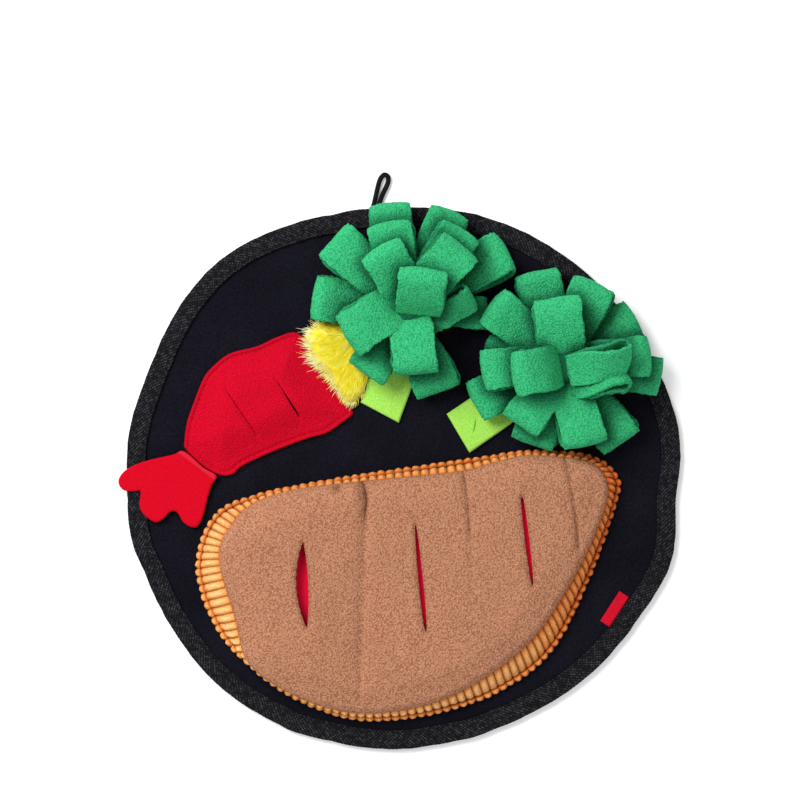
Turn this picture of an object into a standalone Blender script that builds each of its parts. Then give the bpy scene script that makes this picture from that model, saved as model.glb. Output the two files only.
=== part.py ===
"""A round snuffle mat with a stuffed steak, a shrimp and two fleece tufts, in metres with +Z up.

The mat lies on its back with the centre of its underside at the origin. +Y runs from the
centre towards the hanging loop. Sizes below are in millimetres, and MM turns them into metres.
"""

import math

import bmesh
import bpy
import numpy as np
from mathutils import Vector

MM = 0.001
GAP = 0.3  # between pieces that lie on each other

# ---- Driving dimensions (mm) ---------------------------------------------------------------

MAT_RADIUS = 151.0
MAT_TOP = 3.0  # height of the velvet face above the floor
MAT_RIM_UNDERSIDE = 1.5  # the rim is raised by this much to let the webbing pass below
MAT_STATIONS = 108
# Where the hand-sewn rim leaves its circle: centre and half width in degrees, push in mm.
RIM_WAVES = [
    {"at": 10, "spread": 11, "push": 2.4},
    {"at": 92, "spread": 22, "push": -2.0},
    {"at": 132, "spread": 18, "push": 5.5},
    {"at": 172, "spread": 9, "push": 1.9},
    {"at": 192, "spread": 7, "push": 2.2},
    {"at": 228, "spread": 13, "push": 1.6},
    {"at": 246, "spread": 4, "push": 1.0},
    {"at": 291, "spread": 30, "push": -4.0},
    {"at": 342, "spread": 8, "push": 3.4},
    {"at": 356, "spread": 5, "push": -1.8},
]

WEBBING = 1.2  # thickness of the binding
BINDING_LEG = 10.2  # how far it reaches in over the mat
LAY_Z = MAT_TOP + GAP  # what is sewn onto the velvet starts at this height
BINDING_TOP = LAY_Z + WEBBING

CORD_RADIUS = 1.35
CORD_Z = 1.45
# The hanging loop's route over the floor, from the binding and back to it.
CORD_ROUTE = [
    {"x": -17.6, "y": 149.0},
    {"x": -15.9, "y": 153.8},
    {"x": -15.0, "y": 158.6},
    {"x": -13.2, "y": 163.6},
    {"x": -10.6, "y": 166.6},
    {"x": -8.6, "y": 165.3},
    {"x": -9.3, "y": 161.2},
    {"x": -11.5, "y": 156.6},
    {"x": -13.0, "y": 152.8},
    {"x": -13.8, "y": 149.1},
]

# The steak: the corduroy's outer edge on the mat, and the fleece's edge on top of it.
STEAK_CENTRE = (0.0, -58.0)
STEAK_FOOT = [
    {"x": -104.4, "y": -20.4},
    {"x": -80.2, "y": -8.6},
    {"x": -45.5, "y": -1.4},
    {"x": -3.6, "y": 5.2},
    {"x": 41.5, "y": 11.7},
    {"x": 70.7, "y": 15.4},
    {"x": 103.0, "y": 12.7},
    {"x": 118.3, "y": 0.6},
    {"x": 116.7, "y": -15.6},
    {"x": 102.1, "y": -55.9},
    {"x": 82.0, "y": -94.6},
    {"x": 54.6, "y": -116.4},
    {"x": 22.3, "y": -128.5},
    {"x": -10.0, "y": -133.4},
    {"x": -35.8, "y": -130.9},
    {"x": -63.3, "y": -119.5},
    {"x": -85.8, "y": -102.7},
    {"x": -103.6, "y": -81.7},
    {"x": -114.1, "y": -49.4},
]
STEAK_RIM = [
    {"x": -101.1, "y": -42.9},
    {"x": -93.1, "y": -23.7},
    {"x": -80.2, "y": -12.8},
    {"x": -58.4, "y": -6.0},
    {"x": -26.1, "y": -2.0},
    {"x": -0.3, "y": 0.6},
    {"x": 32.0, "y": 4.0},
    {"x": 54.6, "y": 10.0},
    {"x": 70.7, "y": 12.5},
    {"x": 101.3, "y": 9.0},
    {"x": 111.8, "y": -3.5},
    {"x": 107.8, "y": -23.6},
    {"x": 91.6, "y": -57.5},
    {"x": 67.4, "y": -91.4},
    {"x": 32.0, "y": -116.4},
    {"x": -0.3, "y": -126.9},
    {"x": -32.6, "y": -127.7},
    {"x": -63.3, "y": -117.2},
    {"x": -85.0, "y": -101.0},
    {"x": -92.3, "y": -76.8},
]
RIBS = 128
RIB_HEIGHT = 0.9
# The corduroy wall from the mat upwards: how far in from the foot, and how high.
FLANGE = [
    {"inset": 0.3, "z": LAY_Z},
    {"inset": 0.0, "z": 4.6},
    {"inset": 1.6, "z": 6.0},
    {"inset": 3.4, "z": 4.7},
]
PAD_TOP = 12.0
WALL_BULGE = 1.2
LINING_INSET = 7.0
RIM_TURN = 3.2  # width of the fleece that is turned down at its rim
LINING_Z = PAD_TOP + GAP
LINING_THICKNESS = 1.5
FLEECE = 2.5
# Lowest height of the fleece's underside over the lining: its seams are sewn down to here.
POCKET_FLOOR = LINING_Z + LINING_THICKNESS + GAP
# How far the fleece stands over the lining, from the steak's left to its right.
CROWN = [
    {"x": -112, "lift": 0.5},
    {"x": -78, "lift": 4.4},
    {"x": -52, "lift": 5.4},
    {"x": -24, "lift": 3.0},
    {"x": 6, "lift": 3.6},
    {"x": 36, "lift": 2.8},
    {"x": 66, "lift": 3.4},
    {"x": 92, "lift": 2.4},
    {"x": 112, "lift": 0.5},
]
CROWN_RISE = 16.0  # distance from the rim over which the crown rises
# Sewn-down seams: x at the steak's top edge and further down, and how deep they are.
SEAMS = [
    {"x_top": -25.0, "x_low": -21.5, "y_end": -128.0, "depth": 2.6, "half_width": 3.0},
    {"x_top": 33.0, "x_low": 36.6, "y_end": -78.0, "depth": 1.9, "half_width": 2.8},
    {"x_top": 88.6, "x_low": 95.6, "y_end": -48.0, "depth": 1.9, "half_width": 2.8},
]
STEAK_SLITS = [
    {"x0": -54.8, "y0": -34.6, "x1": -52.7, "y1": -81.7, "left": 5.1, "right": 1.8},
    {"x0": 6.5, "y0": -24.9, "x1": 12.3, "y1": -84.1, "left": 1.1, "right": 1.1},
    {"x0": 64.7, "y0": -9.4, "x1": 70.7, "y1": -59.1, "left": 1.1, "right": 1.1},
]

# The shrimp: red fleece body with two slits, felt tail and plush neck.
SHRIMP_CENTRE = (-76.0, 43.0)
SHRIMP_BODY = [
    {"x": -59.5, "y": 80.0},
    {"x": -69.2, "y": 77.5},
    {"x": -80.5, "y": 72.4},
    {"x": -95.1, "y": 68.5},
    {"x": -104.1, "y": 61.8},
    {"x": -109.7, "y": 55.0},
    {"x": -114.7, "y": 42.7},
    {"x": -118.6, "y": 31.5},
    {"x": -120.3, "y": 20.5},
    {"x": -119.4, "y": 15.6},
    {"x": -109.5, "y": 6.2},
    {"x": -100.4, "y": 1.6},
    {"x": -93.6, "y": 2.3},
    {"x": -88.3, "y": 6.8},
    {"x": -71.5, "y": 14.6},
    {"x": -52.4, "y": 21.9},
    {"x": -42.4, "y": 24.7},
    {"x": -32.2, "y": 31.5},
    {"x": -27.6, "y": 36.0},
    {"x": -34.0, "y": 40.0},
    {"x": -42.5, "y": 50.0},
    {"x": -47.5, "y": 62.0},
    {"x": -53.0, "y": 74.5},
]
RED_FLEECE = 2.0
BODY_CROWN = 4.6
STITCH_INSET = 2.4
SHRIMP_SLITS = [
    {"x0": -70.4, "y0": 55.0, "x1": -56.4, "y1": 33.7, "left": 0.5, "right": 0.5},
    {"x0": -97.4, "y0": 48.3, "x1": -80.5, "y1": 23.0, "left": 0.5, "right": 0.5},
]

TAIL_CENTRE = (-125.0, 0.5)
TAIL = [
    {"x": -121.2, "y": 13.8},
    {"x": -127.0, "y": 12.8},
    {"x": -142.2, "y": 9.2},
    {"x": -151.7, "y": 5.0},
    {"x": -155.9, "y": 0.5},
    {"x": -156.3, "y": -3.5},
    {"x": -153.6, "y": -6.6},
    {"x": -148.4, "y": -7.4},
    {"x": -144.4, "y": -7.3},
    {"x": -144.9, "y": -14.7},
    {"x": -142.8, "y": -19.8},
    {"x": -136.6, "y": -24.2},
    {"x": -132.1, "y": -22.6},
    {"x": -128.8, "y": -19.2},
    {"x": -125.7, "y": -18.0},
    {"x": -123.2, "y": -20.3},
    {"x": -120.9, "y": -24.2},
    {"x": -116.4, "y": -27.0},
    {"x": -112.5, "y": -25.9},
    {"x": -109.7, "y": -19.8},
    {"x": -107.4, "y": -10.8},
    {"x": -105.2, "y": -4.0},
    {"x": -103.4, "y": 0.8},
    {"x": -110.4, "y": 5.3},
]
FELT = 2.0
TAIL_Z = BINDING_TOP + GAP
TAIL_SEAM_RISE = 1.0
TAIL_SEAM_WIDTH = 3.4

# The plush strip: a lumpy slab with locks at its rim, from its top end to its lower end.
FUR_TOP = (-45.0, 79.0)
FUR_LOW = (-27.5, 45.5)
FUR_HALF_WIDTH = 6.2
FUR_HEIGHT = 6.0
LOCKS = 36
LOCK_LENGTH = 7.5
LOCK_RADIUS = 1.5

# The lime felt stalks, by their four corners: the free end first.
STALK_LEFT = [
    {"x": -23.6, "y": 41.6},
    {"x": -2.5, "y": 30.3},
    {"x": 9.3, "y": 62.6},
    {"x": -14.8, "y": 66.2},
]
STALK_RIGHT = [
    {"x": 23.7, "y": 35.2},
    {"x": 36.3, "y": 13.8},
    {"x": 70.2, "y": 37.5},
    {"x": 56.2, "y": 57.3},
]

# The tufts: each loop is a fleece strip folded back on itself, sewn in at the middle.
TUFT_FLEECE = 2.2
TUFT_CORE = [
    {"radius": 21.0, "z": 3.3},
    {"radius": 20.4, "z": 4.9},
    {"radius": 13.0, "z": 6.0},
    {"radius": 13.0, "z": 18.0},
    {"radius": 10.5, "z": 28.0},
]
# The tiers of a rosette, from the mat up: height of the strip's root in the core and of its
# middle, and the width at its root and a third of the way out as shares of its own.
TIERS = {
    "floor": {"root": 6.8, "crest": 9.6, "neck": 0.45, "third": 0.60},
    "second": {"root": 12.0, "crest": 17.0, "neck": 0.45, "third": 0.60},
    "third": {"root": 17.5, "crest": 25.2, "neck": 0.50, "third": 0.66},
    "fourth": {"root": 23.0, "crest": 32.5, "neck": 0.60, "third": 0.84},
    "top": {"root": 28.0, "crest": 41.5, "neck": 0.80, "third": 0.95},
}
TUFT_LEFT = (1.6, 93.1)
TUFT_RIGHT = (87.1, 63.9)
# azimuth in degrees, reach and tip height in mm, width, roll in degrees and the opening
# between the two layers.
LOOPS_LEFT = [
    {"tier": "floor", "azimuth": 99, "reach": 57, "tip": 10, "width": 21, "roll": 0, "open": 5},
    {"tier": "floor", "azimuth": 31, "reach": 62, "tip": 12, "width": 23, "roll": 8, "open": 6},
    {"tier": "floor", "azimuth": -4, "reach": 43, "tip": 9, "width": 17, "roll": 0, "open": 4},
    {"tier": "floor", "azimuth": -69, "reach": 48, "tip": 13, "width": 24, "roll": 0, "open": 5.5},
    {"tier": "floor", "azimuth": 174, "reach": 50, "tip": 14, "width": 23, "roll": 0, "open": 6},
    {"tier": "second", "azimuth": 65, "reach": 57, "tip": 10, "width": 21, "roll": 0, "open": 5},
    {"tier": "second", "azimuth": 137, "reach": 54, "tip": 14, "width": 23, "roll": 0, "open": 7},
    {"tier": "second", "azimuth": -122, "reach": 41, "tip": 17, "width": 22, "roll": 0, "open": 5},
    {"tier": "third", "azimuth": 102, "reach": 46, "tip": 22, "width": 23, "roll": 0, "open": 5},
    {"tier": "third", "azimuth": 55, "reach": 51, "tip": 24, "width": 22, "roll": 0, "open": 5},
    {"tier": "third", "azimuth": 0, "reach": 38, "tip": 25, "width": 21, "roll": -25, "open": 5},
    {"tier": "third", "azimuth": -155, "reach": 38, "tip": 28, "width": 24, "roll": 0, "open": 7},
    {"tier": "fourth", "azimuth": 121, "reach": 35, "tip": 34, "width": 23, "roll": 0, "open": 6},
    {"tier": "fourth", "azimuth": 47, "reach": 44, "tip": 35, "width": 23, "roll": 0, "open": 6},
    {"tier": "fourth", "azimuth": -84, "reach": 36, "tip": 29, "width": 23, "roll": 0, "open": 7},
    {"tier": "top", "azimuth": 71, "reach": 26, "tip": 44, "width": 25, "roll": 0, "open": 6},
]
LOOPS_RIGHT = [
    {"tier": "floor", "azimuth": 106, "reach": 50, "tip": 10, "width": 23, "roll": 0, "open": 5},
    {"tier": "floor", "azimuth": 169, "reach": 41, "tip": 8, "width": 12, "roll": 0, "open": 3},
    {"tier": "floor", "azimuth": 204, "reach": 52, "tip": 12, "width": 22, "roll": 0, "open": 5},
    {"tier": "floor", "azimuth": -54, "reach": 54, "tip": 12, "width": 23, "roll": 0, "open": 6},
    {"tier": "floor", "azimuth": 31, "reach": 45, "tip": 10, "width": 23, "roll": 0, "open": 5},
    {"tier": "second", "azimuth": 141, "reach": 49, "tip": 19, "width": 22, "roll": 0, "open": 7},
    {"tier": "second", "azimuth": 250, "reach": 47, "tip": 11, "width": 23, "roll": 0, "open": 5},
    {"tier": "second", "azimuth": -9, "reach": 53, "tip": 10, "width": 20, "roll": 0, "open": 4},
    {"tier": "second", "azimuth": 68, "reach": 45, "tip": 20, "width": 23, "roll": 0, "open": 6},
    {"tier": "third", "azimuth": 187, "reach": 43, "tip": 24, "width": 21, "roll": 0, "open": 5},
    {"tier": "third", "azimuth": 235, "reach": 41, "tip": 23, "width": 22, "roll": 0, "open": 5},
    {"tier": "third", "azimuth": -74, "reach": 46, "tip": 23, "width": 23, "roll": 0, "open": 6},
    {"tier": "third", "azimuth": 4, "reach": 46, "tip": 23, "width": 21, "roll": 0, "open": 5},
    {"tier": "fourth", "azimuth": 96, "reach": 37, "tip": 31, "width": 25, "roll": 0, "open": 7},
    {"tier": "fourth", "azimuth": -40, "reach": 31, "tip": 35, "width": 21, "roll": 20, "open": 6},
    {"tier": "top", "azimuth": 190, "reach": 27, "tip": 38, "width": 23, "roll": 0, "open": 6},
    {"tier": "top", "azimuth": 22, "reach": 35, "tip": 38, "width": 22, "roll": -28, "open": 6},
]

# The side tag, left plain: its centre, its angle and its size.
TAG = {"x": 116.3, "y": -72.1, "turn": 57.0, "length": 19.5, "width": 5.0, "height": 1.0}

COLOURS = {
    "velvet": (0.010, 0.010, 0.014),
    "webbing": (0.012, 0.012, 0.013),
    "corduroy": (0.83, 0.46, 0.15),
    "crimson": (0.50, 0.006, 0.035),
    "tan": (0.51, 0.27, 0.15),
    "red": (0.66, 0.010, 0.030),
    "red_felt": (0.72, 0.012, 0.026),
    "yellow": (0.87, 0.74, 0.05),
    "lime": (0.26, 0.66, 0.07),
    "green": (0.030, 0.42, 0.15),
    "tag": (0.70, 0.008, 0.020),
}


# ---- Helpers -------------------------------------------------------------------------------


def clear_scene():
    for old in list(bpy.data.objects):
        bpy.data.objects.remove(old, do_unlink=True)


def new_collection(name):
    group = bpy.data.collections.new(name)
    bpy.context.scene.collection.children.link(group)
    return group


def material(name, roughness=0.95):
    made = bpy.data.materials.new(name)
    made.use_nodes = True
    shader = made.node_tree.nodes["Principled BSDF"]
    shader.inputs["Base Color"].default_value = (*COLOURS[name], 1.0)
    shader.inputs["Roughness"].default_value = roughness
    shader.inputs["Metallic"].default_value = 0.0
    return made


def add_mesh(name, bm, group, look=None):
    """Turn a bmesh in millimetres into an object in metres."""
    bmesh.ops.scale(bm, vec=(MM, MM, MM), verts=bm.verts)
    bmesh.ops.recalc_face_normals(bm, faces=bm.faces)
    mesh = bpy.data.meshes.new(name)
    bm.to_mesh(mesh)
    bm.free()
    made = bpy.data.objects.new(name, mesh)
    group.objects.link(made)
    if look is not None:
        mesh.materials.append(look)
    return made


def add_cutter(name, bm, group):
    made = add_mesh(name, bm, group)
    made.hide_render = True
    made.display_type = "WIRE"
    return made


def table_points(rows):
    return np.array([[row["x"], row["y"]] for row in rows], dtype=float)


def smooth_loop(points, count):
    """A closed smooth curve through the points, as count points evenly apart along it."""
    fine = []
    total = len(points)
    for i in range(total):
        a, b, c, d = (points[(i + k) % total] for k in (-1, 0, 1, 2))
        for t in np.linspace(0.0, 1.0, 24, endpoint=False):
            fine.append(
                0.5
                * (2 * b + (c - a) * t + (2 * a - 5 * b + 4 * c - d) * t**2
                   + (3 * b - a - 3 * c + d) * t**3)
            )
    fine = np.array(fine)
    closed = np.vstack([fine, fine[:1]])
    along = np.concatenate([[0.0], np.cumsum(np.linalg.norm(np.diff(closed, axis=0), axis=1))])
    wanted = np.linspace(0.0, along[-1], count, endpoint=False)
    return np.column_stack([np.interp(wanted, along, closed[:, k]) for k in (0, 1)])


def smooth_path(points, per_span):
    """An open smooth curve through the points."""
    ends = np.vstack([2 * points[0] - points[1], points, 2 * points[-1] - points[-2]])
    path = []
    for i in range(1, len(ends) - 2):
        a, b, c, d = ends[i - 1 : i + 3]
        for t in np.linspace(0.0, 1.0, per_span, endpoint=False):
            path.append(
                0.5
                * (2 * b + (c - a) * t + (2 * a - 5 * b + 4 * c - d) * t**2
                   + (3 * b - a - 3 * c + d) * t**3)
            )
    path.append(points[-1])
    return np.array(path)


def distance_to(outline, x, y):
    """Distance from a point to a closed outline."""
    start = outline
    step = np.roll(outline, -1, axis=0) - outline
    offset = np.array([x, y]) - start
    along = np.clip((offset * step).sum(axis=1) / (step * step).sum(axis=1), 0.0, 1.0)
    return float(np.linalg.norm(offset - along[:, None] * step, axis=1).min())


def radius_at(outline, centre, angles):
    """The outline's distance from the centre at the given angles."""
    arms = outline - np.array(centre)
    known = np.unwrap(np.arctan2(arms[:, 1], arms[:, 0]))
    reach = np.linalg.norm(arms, axis=1)
    if known[-1] < known[0]:
        known, reach = known[::-1], reach[::-1]
    turn = 2 * math.pi
    known = np.concatenate([known - turn, known, known + turn])
    reach = np.tile(reach, 3)
    return np.interp(np.unwrap(angles), known, reach)


def smoothstep(value):
    value = min(max(value, 0.0), 1.0)
    return value * value * (3.0 - 2.0 * value)


def loft(rings, around=False):
    """Join rings of equal length with quads: capped at both ends, or closed round on itself."""
    bm = bmesh.new()
    made = [[bm.verts.new(point) for point in ring] for ring in rings]
    size = len(rings[0])
    pairs = list(zip(made, made[1:]))
    if around:
        pairs.append((made[-1], made[0]))
    for low, high in pairs:
        for i in range(size):
            j = (i + 1) % size
            bm.faces.new((low[i], low[j], high[j], high[i]))
    if not around:
        bm.faces.new(made[0][::-1])
        bm.faces.new(made[-1])
    return bm


def polar_sheet(outline, centre, insets, height):
    """An open sheet from an outline in to its centre, with a row at each inset or share."""
    bm = bmesh.new()
    middle = np.array(centre)
    rows = []
    for inset in insets:
        row = []
        for point in outline:
            arm = point - middle
            reach = float(np.linalg.norm(arm))
            keep = 1.0 - inset / reach if inset >= 1.0 or inset == 0.0 else inset
            x, y = middle + arm * keep
            row.append(bm.verts.new((x, y, height(x, y))))
        rows.append(row)
    size = len(outline)
    for outer, inner in zip(rows, rows[1:]):
        for i in range(size):
            j = (i + 1) % size
            bm.faces.new((outer[i], outer[j], inner[j], inner[i]))
    hub = bm.verts.new((*centre, height(*centre)))
    for i in range(size):
        bm.faces.new((rows[-1][i], rows[-1][(i + 1) % size], hub))
    return bm


def column_sheet(outline, columns, shares, height):
    """An open sheet in columns along x, each from the outline's lower to its upper side."""
    bm = bmesh.new()
    rows = []
    closed = np.vstack([outline, outline[:1]])
    for x in columns:
        crossings = []
        for (xa, ya), (xb, yb) in zip(closed, closed[1:]):
            if (xa - x) * (xb - x) < 0:
                crossings.append(ya + (yb - ya) * (x - xa) / (xb - xa))
        low, high = min(crossings), max(crossings)
        ys = [low + (high - low) * share for share in shares]
        rows.append([bm.verts.new((x, y, height(x, y))) for y in ys])
    for left, right in zip(rows, rows[1:]):
        for j in range(len(shares) - 1):
            bm.faces.new((left[j], right[j], right[j + 1], left[j + 1]))
    return bm


def patch_sheet(corners, columns, rows, height):
    """An open four-sided sheet between its corners."""
    bm = bmesh.new()
    a, b, c, d = table_points(corners)
    grid = []
    for j in range(rows + 1):
        v = j / rows
        start, end = a + (d - a) * v, b + (c - b) * v
        line = [start + (end - start) * i / columns for i in range(columns + 1)]
        grid.append([bm.verts.new((x, y, height(x, y))) for x, y in line])
    for low, high in zip(grid, grid[1:]):
        for i in range(columns):
            bm.faces.new((low[i], low[i + 1], high[i + 1], high[i]))
    return bm


def thicken(made, thickness):
    """Give a sheet its thickness above the surface that it was drawn with."""
    facing_up = sum(face.normal.z * face.area for face in made.data.polygons) > 0
    if not facing_up:
        made.data.flip_normals()
    shell = made.modifiers.new("thickness", "SOLIDIFY")
    shell.thickness = thickness * MM
    shell.offset = 1.0


def cut(made, cutter):
    tool = made.modifiers.new("cut_" + cutter.name, "BOOLEAN")
    tool.operation = "DIFFERENCE"
    tool.object = cutter


def slit_cutter(name, slit, low, high, group):
    """A lens-shaped cutter from one end of a slit to the other."""
    start = np.array([slit["x0"], slit["y0"]])
    end = np.array([slit["x1"], slit["y1"]])
    along = end - start
    left = np.array([along[1], -along[0]]) / np.linalg.norm(along)
    if left[0] > 0:
        left = -left
    steps = 8
    ring = [start + along * i / steps + left * slit["left"] * math.sin(math.pi * i / steps)
            for i in range(steps)]
    ring += [end - along * i / steps - left * slit["right"] * math.sin(math.pi * i / steps)
             for i in range(steps)]
    rings = [[(x, y, z) for x, y in ring] for z in (low, high)]
    return add_cutter(name, loft(rings), group)


# ---- The mat and its binding ---------------------------------------------------------------


def mat_radius(angle):
    """Radius of the binding's outer edge at an angle in radians."""
    radius = MAT_RADIUS
    for wave in RIM_WAVES:
        off = (math.degrees(angle) - wave["at"] + 180.0) % 360.0 - 180.0
        radius += wave["push"] * math.exp(-((off / wave["spread"]) ** 2))
    return radius


def rim_ring(inset, z):
    ring = []
    for i in range(MAT_STATIONS):
        angle = 2 * math.pi * i / MAT_STATIONS
        reach = mat_radius(angle) - inset
        ring.append((reach * math.cos(angle), reach * math.sin(angle), z))
    return ring


def build_mat(group):
    """The velvet base: one flat padded sheet, thinner at its rim, where it is bound."""
    edge = WEBBING + GAP
    step_in = BINDING_LEG + 2 * GAP
    rings = [
        rim_ring(step_in + 1.2, 0.0),
        rim_ring(step_in, MAT_RIM_UNDERSIDE),
        rim_ring(edge, MAT_RIM_UNDERSIDE),
        rim_ring(edge, MAT_TOP),
    ]
    return add_mesh("base_mat", loft(rings), group, material("velvet"))


def build_binding(group):
    """Webbing folded round the rim: a leg below the mat, the outer wall and a leg on top."""
    section = [
        (BINDING_LEG, 0.0),
        (0.5, 0.0),
        (0.0, 0.9),
        (0.0, BINDING_TOP - 0.9),
        (0.6, BINDING_TOP),
        (BINDING_LEG, BINDING_TOP),
        (BINDING_LEG, LAY_Z),
        (WEBBING, LAY_Z),
        (WEBBING, WEBBING),
        (BINDING_LEG, WEBBING),
    ]
    rings = [rim_ring(inset, z) for inset, z in section]
    return add_mesh("edge_binding", loft(rings, around=True), group, material("webbing", 0.8))


def build_hang_loop(group):
    path = smooth_path(table_points(CORD_ROUTE), 2)
    line = bpy.data.curves.new("hang_loop", "CURVE")
    line.dimensions = "3D"
    line.bevel_depth = CORD_RADIUS * MM
    line.bevel_resolution = 2
    line.use_fill_caps = True
    spline = line.splines.new("POLY")
    spline.points.add(len(path) - 1)
    for point, (x, y) in zip(spline.points, path):
        point.co = (x * MM, y * MM, CORD_Z * MM, 1.0)
    line.materials.append(bpy.data.materials["webbing"])
    made = bpy.data.objects.new("hang_loop", line)
    group.objects.link(made)
    return made


def build_tag(group):
    bm = bmesh.new()
    bmesh.ops.create_cube(bm, size=1.0)
    bmesh.ops.scale(bm, vec=(TAG["length"], TAG["width"], TAG["height"]), verts=bm.verts)
    made = add_mesh("side_tag", bm, group, material("tag", 0.6))
    made.location = Vector((TAG["x"], TAG["y"], LAY_Z + TAG["height"] / 2)) * MM
    made.rotation_euler = (0.0, 0.0, math.radians(TAG["turn"]))
    return made


# ---- The steak -----------------------------------------------------------------------------


def build_steak_pad(group):
    """The filled corduroy gusset: a sewn flange, a groove and a ribbed wall up to the rim."""
    stations = 2 * RIBS
    foot = smooth_loop(table_points(STEAK_FOOT), stations)
    centre = np.array(STEAK_CENTRE)
    arms = foot - centre
    angles = np.arctan2(arms[:, 1], arms[:, 0])
    foot_reach = np.linalg.norm(arms, axis=1)
    rim_line = smooth_loop(table_points(STEAK_RIM), stations)
    rim_reach = radius_at(rim_line, STEAK_CENTRE, angles)
    unit = arms / foot_reach[:, None]
    ridge = np.where(np.arange(stations) % 2 == 0, 0.5, -0.5) * RIB_HEIGHT

    def ring(reach, z, ribbed=1.0):
        points = centre + unit * (reach + ridge * ribbed)[:, None]
        return [(x, y, z) for x, y in points]

    rings = [ring(foot_reach - row["inset"], row["z"]) for row in FLANGE]
    wall_foot = foot_reach - FLANGE[-1]["inset"]
    middle = (wall_foot + rim_reach) / 2 + WALL_BULGE
    rings.append(ring(middle, (FLANGE[-1]["z"] + PAD_TOP) / 2))
    rings.append(ring(rim_reach, PAD_TOP))
    return add_mesh("steak_pad", loft(rings), group, material("corduroy"))


def build_steak_lining(group):
    outline = smooth_loop(table_points(STEAK_RIM), 64)
    centre = np.array(STEAK_CENTRE)
    arms = outline - centre
    reach = np.linalg.norm(arms, axis=1)
    inner = centre + arms * ((reach - LINING_INSET) / reach)[:, None]
    heights = (LINING_Z, LINING_Z + LINING_THICKNESS)
    rings = [[(x, y, z) for x, y in inner] for z in heights]
    return add_mesh("steak_lining", loft(rings), group, material("crimson", 0.85))


def seam_drop(x, y):
    """How far the seams pull the fleece down at a point."""
    top = 10.0
    drop = 0.0
    for seam in SEAMS:
        along = (top - y) / (top - seam["y_end"])
        line = seam["x_top"] + (seam["x_low"] - seam["x_top"]) * smoothstep(along * 2.5)
        fade = 1.0 - smoothstep((along - 0.75) / 0.35)
        drop += seam["depth"] * fade * math.exp(-(((x - line) / seam["half_width"]) ** 2))
    return drop


def build_steak_top(group, cutters):
    """The tan fleece: its rim turned down to the pad, three seams sewn down, three slits cut."""
    outline = smooth_loop(table_points(STEAK_RIM), 160)
    crown_x = [row["x"] for row in CROWN]
    crown_lift = [row["lift"] for row in CROWN]

    def under(x, y):
        inside = distance_to(outline, x, y)
        turned = LINING_Z + (POCKET_FLOOR - LINING_Z) * smoothstep(inside / RIM_TURN)
        lift = float(np.interp(x, crown_x, crown_lift)) * smoothstep(inside / CROWN_RISE)
        return turned + max(lift - seam_drop(x, y), 0.0)

    left, right = outline[:, 0].min(), outline[:, 0].max()
    ends = (0.3, 1.5, 3.5, 6.5, 10.5)
    columns = [left + step for step in ends]
    columns += list(np.linspace(left + 15.0, right - 15.0, 32))
    columns += [right - step for step in reversed(ends)]
    shares = (0.0, 0.02, 0.06, 0.13, 0.24, 0.38, 0.54, 0.68, 0.80, 0.90, 0.97, 1.0)
    bm = column_sheet(outline, columns, shares, under)
    made = add_mesh("steak_top", bm, group, material("tan"))
    thicken(made, FLEECE)
    for number, slit in enumerate(STEAK_SLITS, 1):
        tool = slit_cutter(f"steak_slit_{number}", slit, PAD_TOP, PAD_TOP + 20.0, cutters)
        cut(made, tool)
    return made


# ---- The shrimp ----------------------------------------------------------------------------


def build_shrimp_body(group, cutters):
    outline = smooth_loop(table_points(SHRIMP_BODY), 60)

    def under(x, y):
        inside = distance_to(outline, x, y)
        loose_edge = 0.5 * (1.0 - smoothstep(inside / STITCH_INSET))
        crown = BODY_CROWN * smoothstep((inside - STITCH_INSET) / 20.0)
        return LAY_Z + loose_edge + crown

    insets = (0.0, 1.2, STITCH_INSET, 6.0, 13.0, 0.45)
    bm = polar_sheet(outline, SHRIMP_CENTRE, insets, under)
    made = add_mesh("shrimp_body", bm, group, material("red"))
    thicken(made, RED_FLEECE)
    for number, slit in enumerate(SHRIMP_SLITS, 1):
        tool = slit_cutter(f"shrimp_slit_{number}", slit, MAT_TOP, MAT_TOP + 20.0, cutters)
        cut(made, tool)
    return made


def build_shrimp_tail(group):
    outline = smooth_loop(table_points(TAIL), 72)
    seam_a = np.array([TAIL[0]["x"], TAIL[0]["y"]])
    seam_b = np.array([TAIL[-2]["x"], TAIL[-2]["y"]])
    seam = (seam_b - seam_a) / np.linalg.norm(seam_b - seam_a)

    def under(x, y):
        offset = np.array([x, y]) - seam_a
        off_seam = abs(offset[0] * seam[1] - offset[1] * seam[0])
        return TAIL_Z + TAIL_SEAM_RISE * (1.0 - smoothstep((off_seam - 1.0) / TAIL_SEAM_WIDTH))

    bm = polar_sheet(outline, TAIL_CENTRE, (0.0, 2.5, 0.6), under)
    made = add_mesh("shrimp_tail", bm, group, material("red_felt"))
    thicken(made, FELT)
    return made


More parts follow.
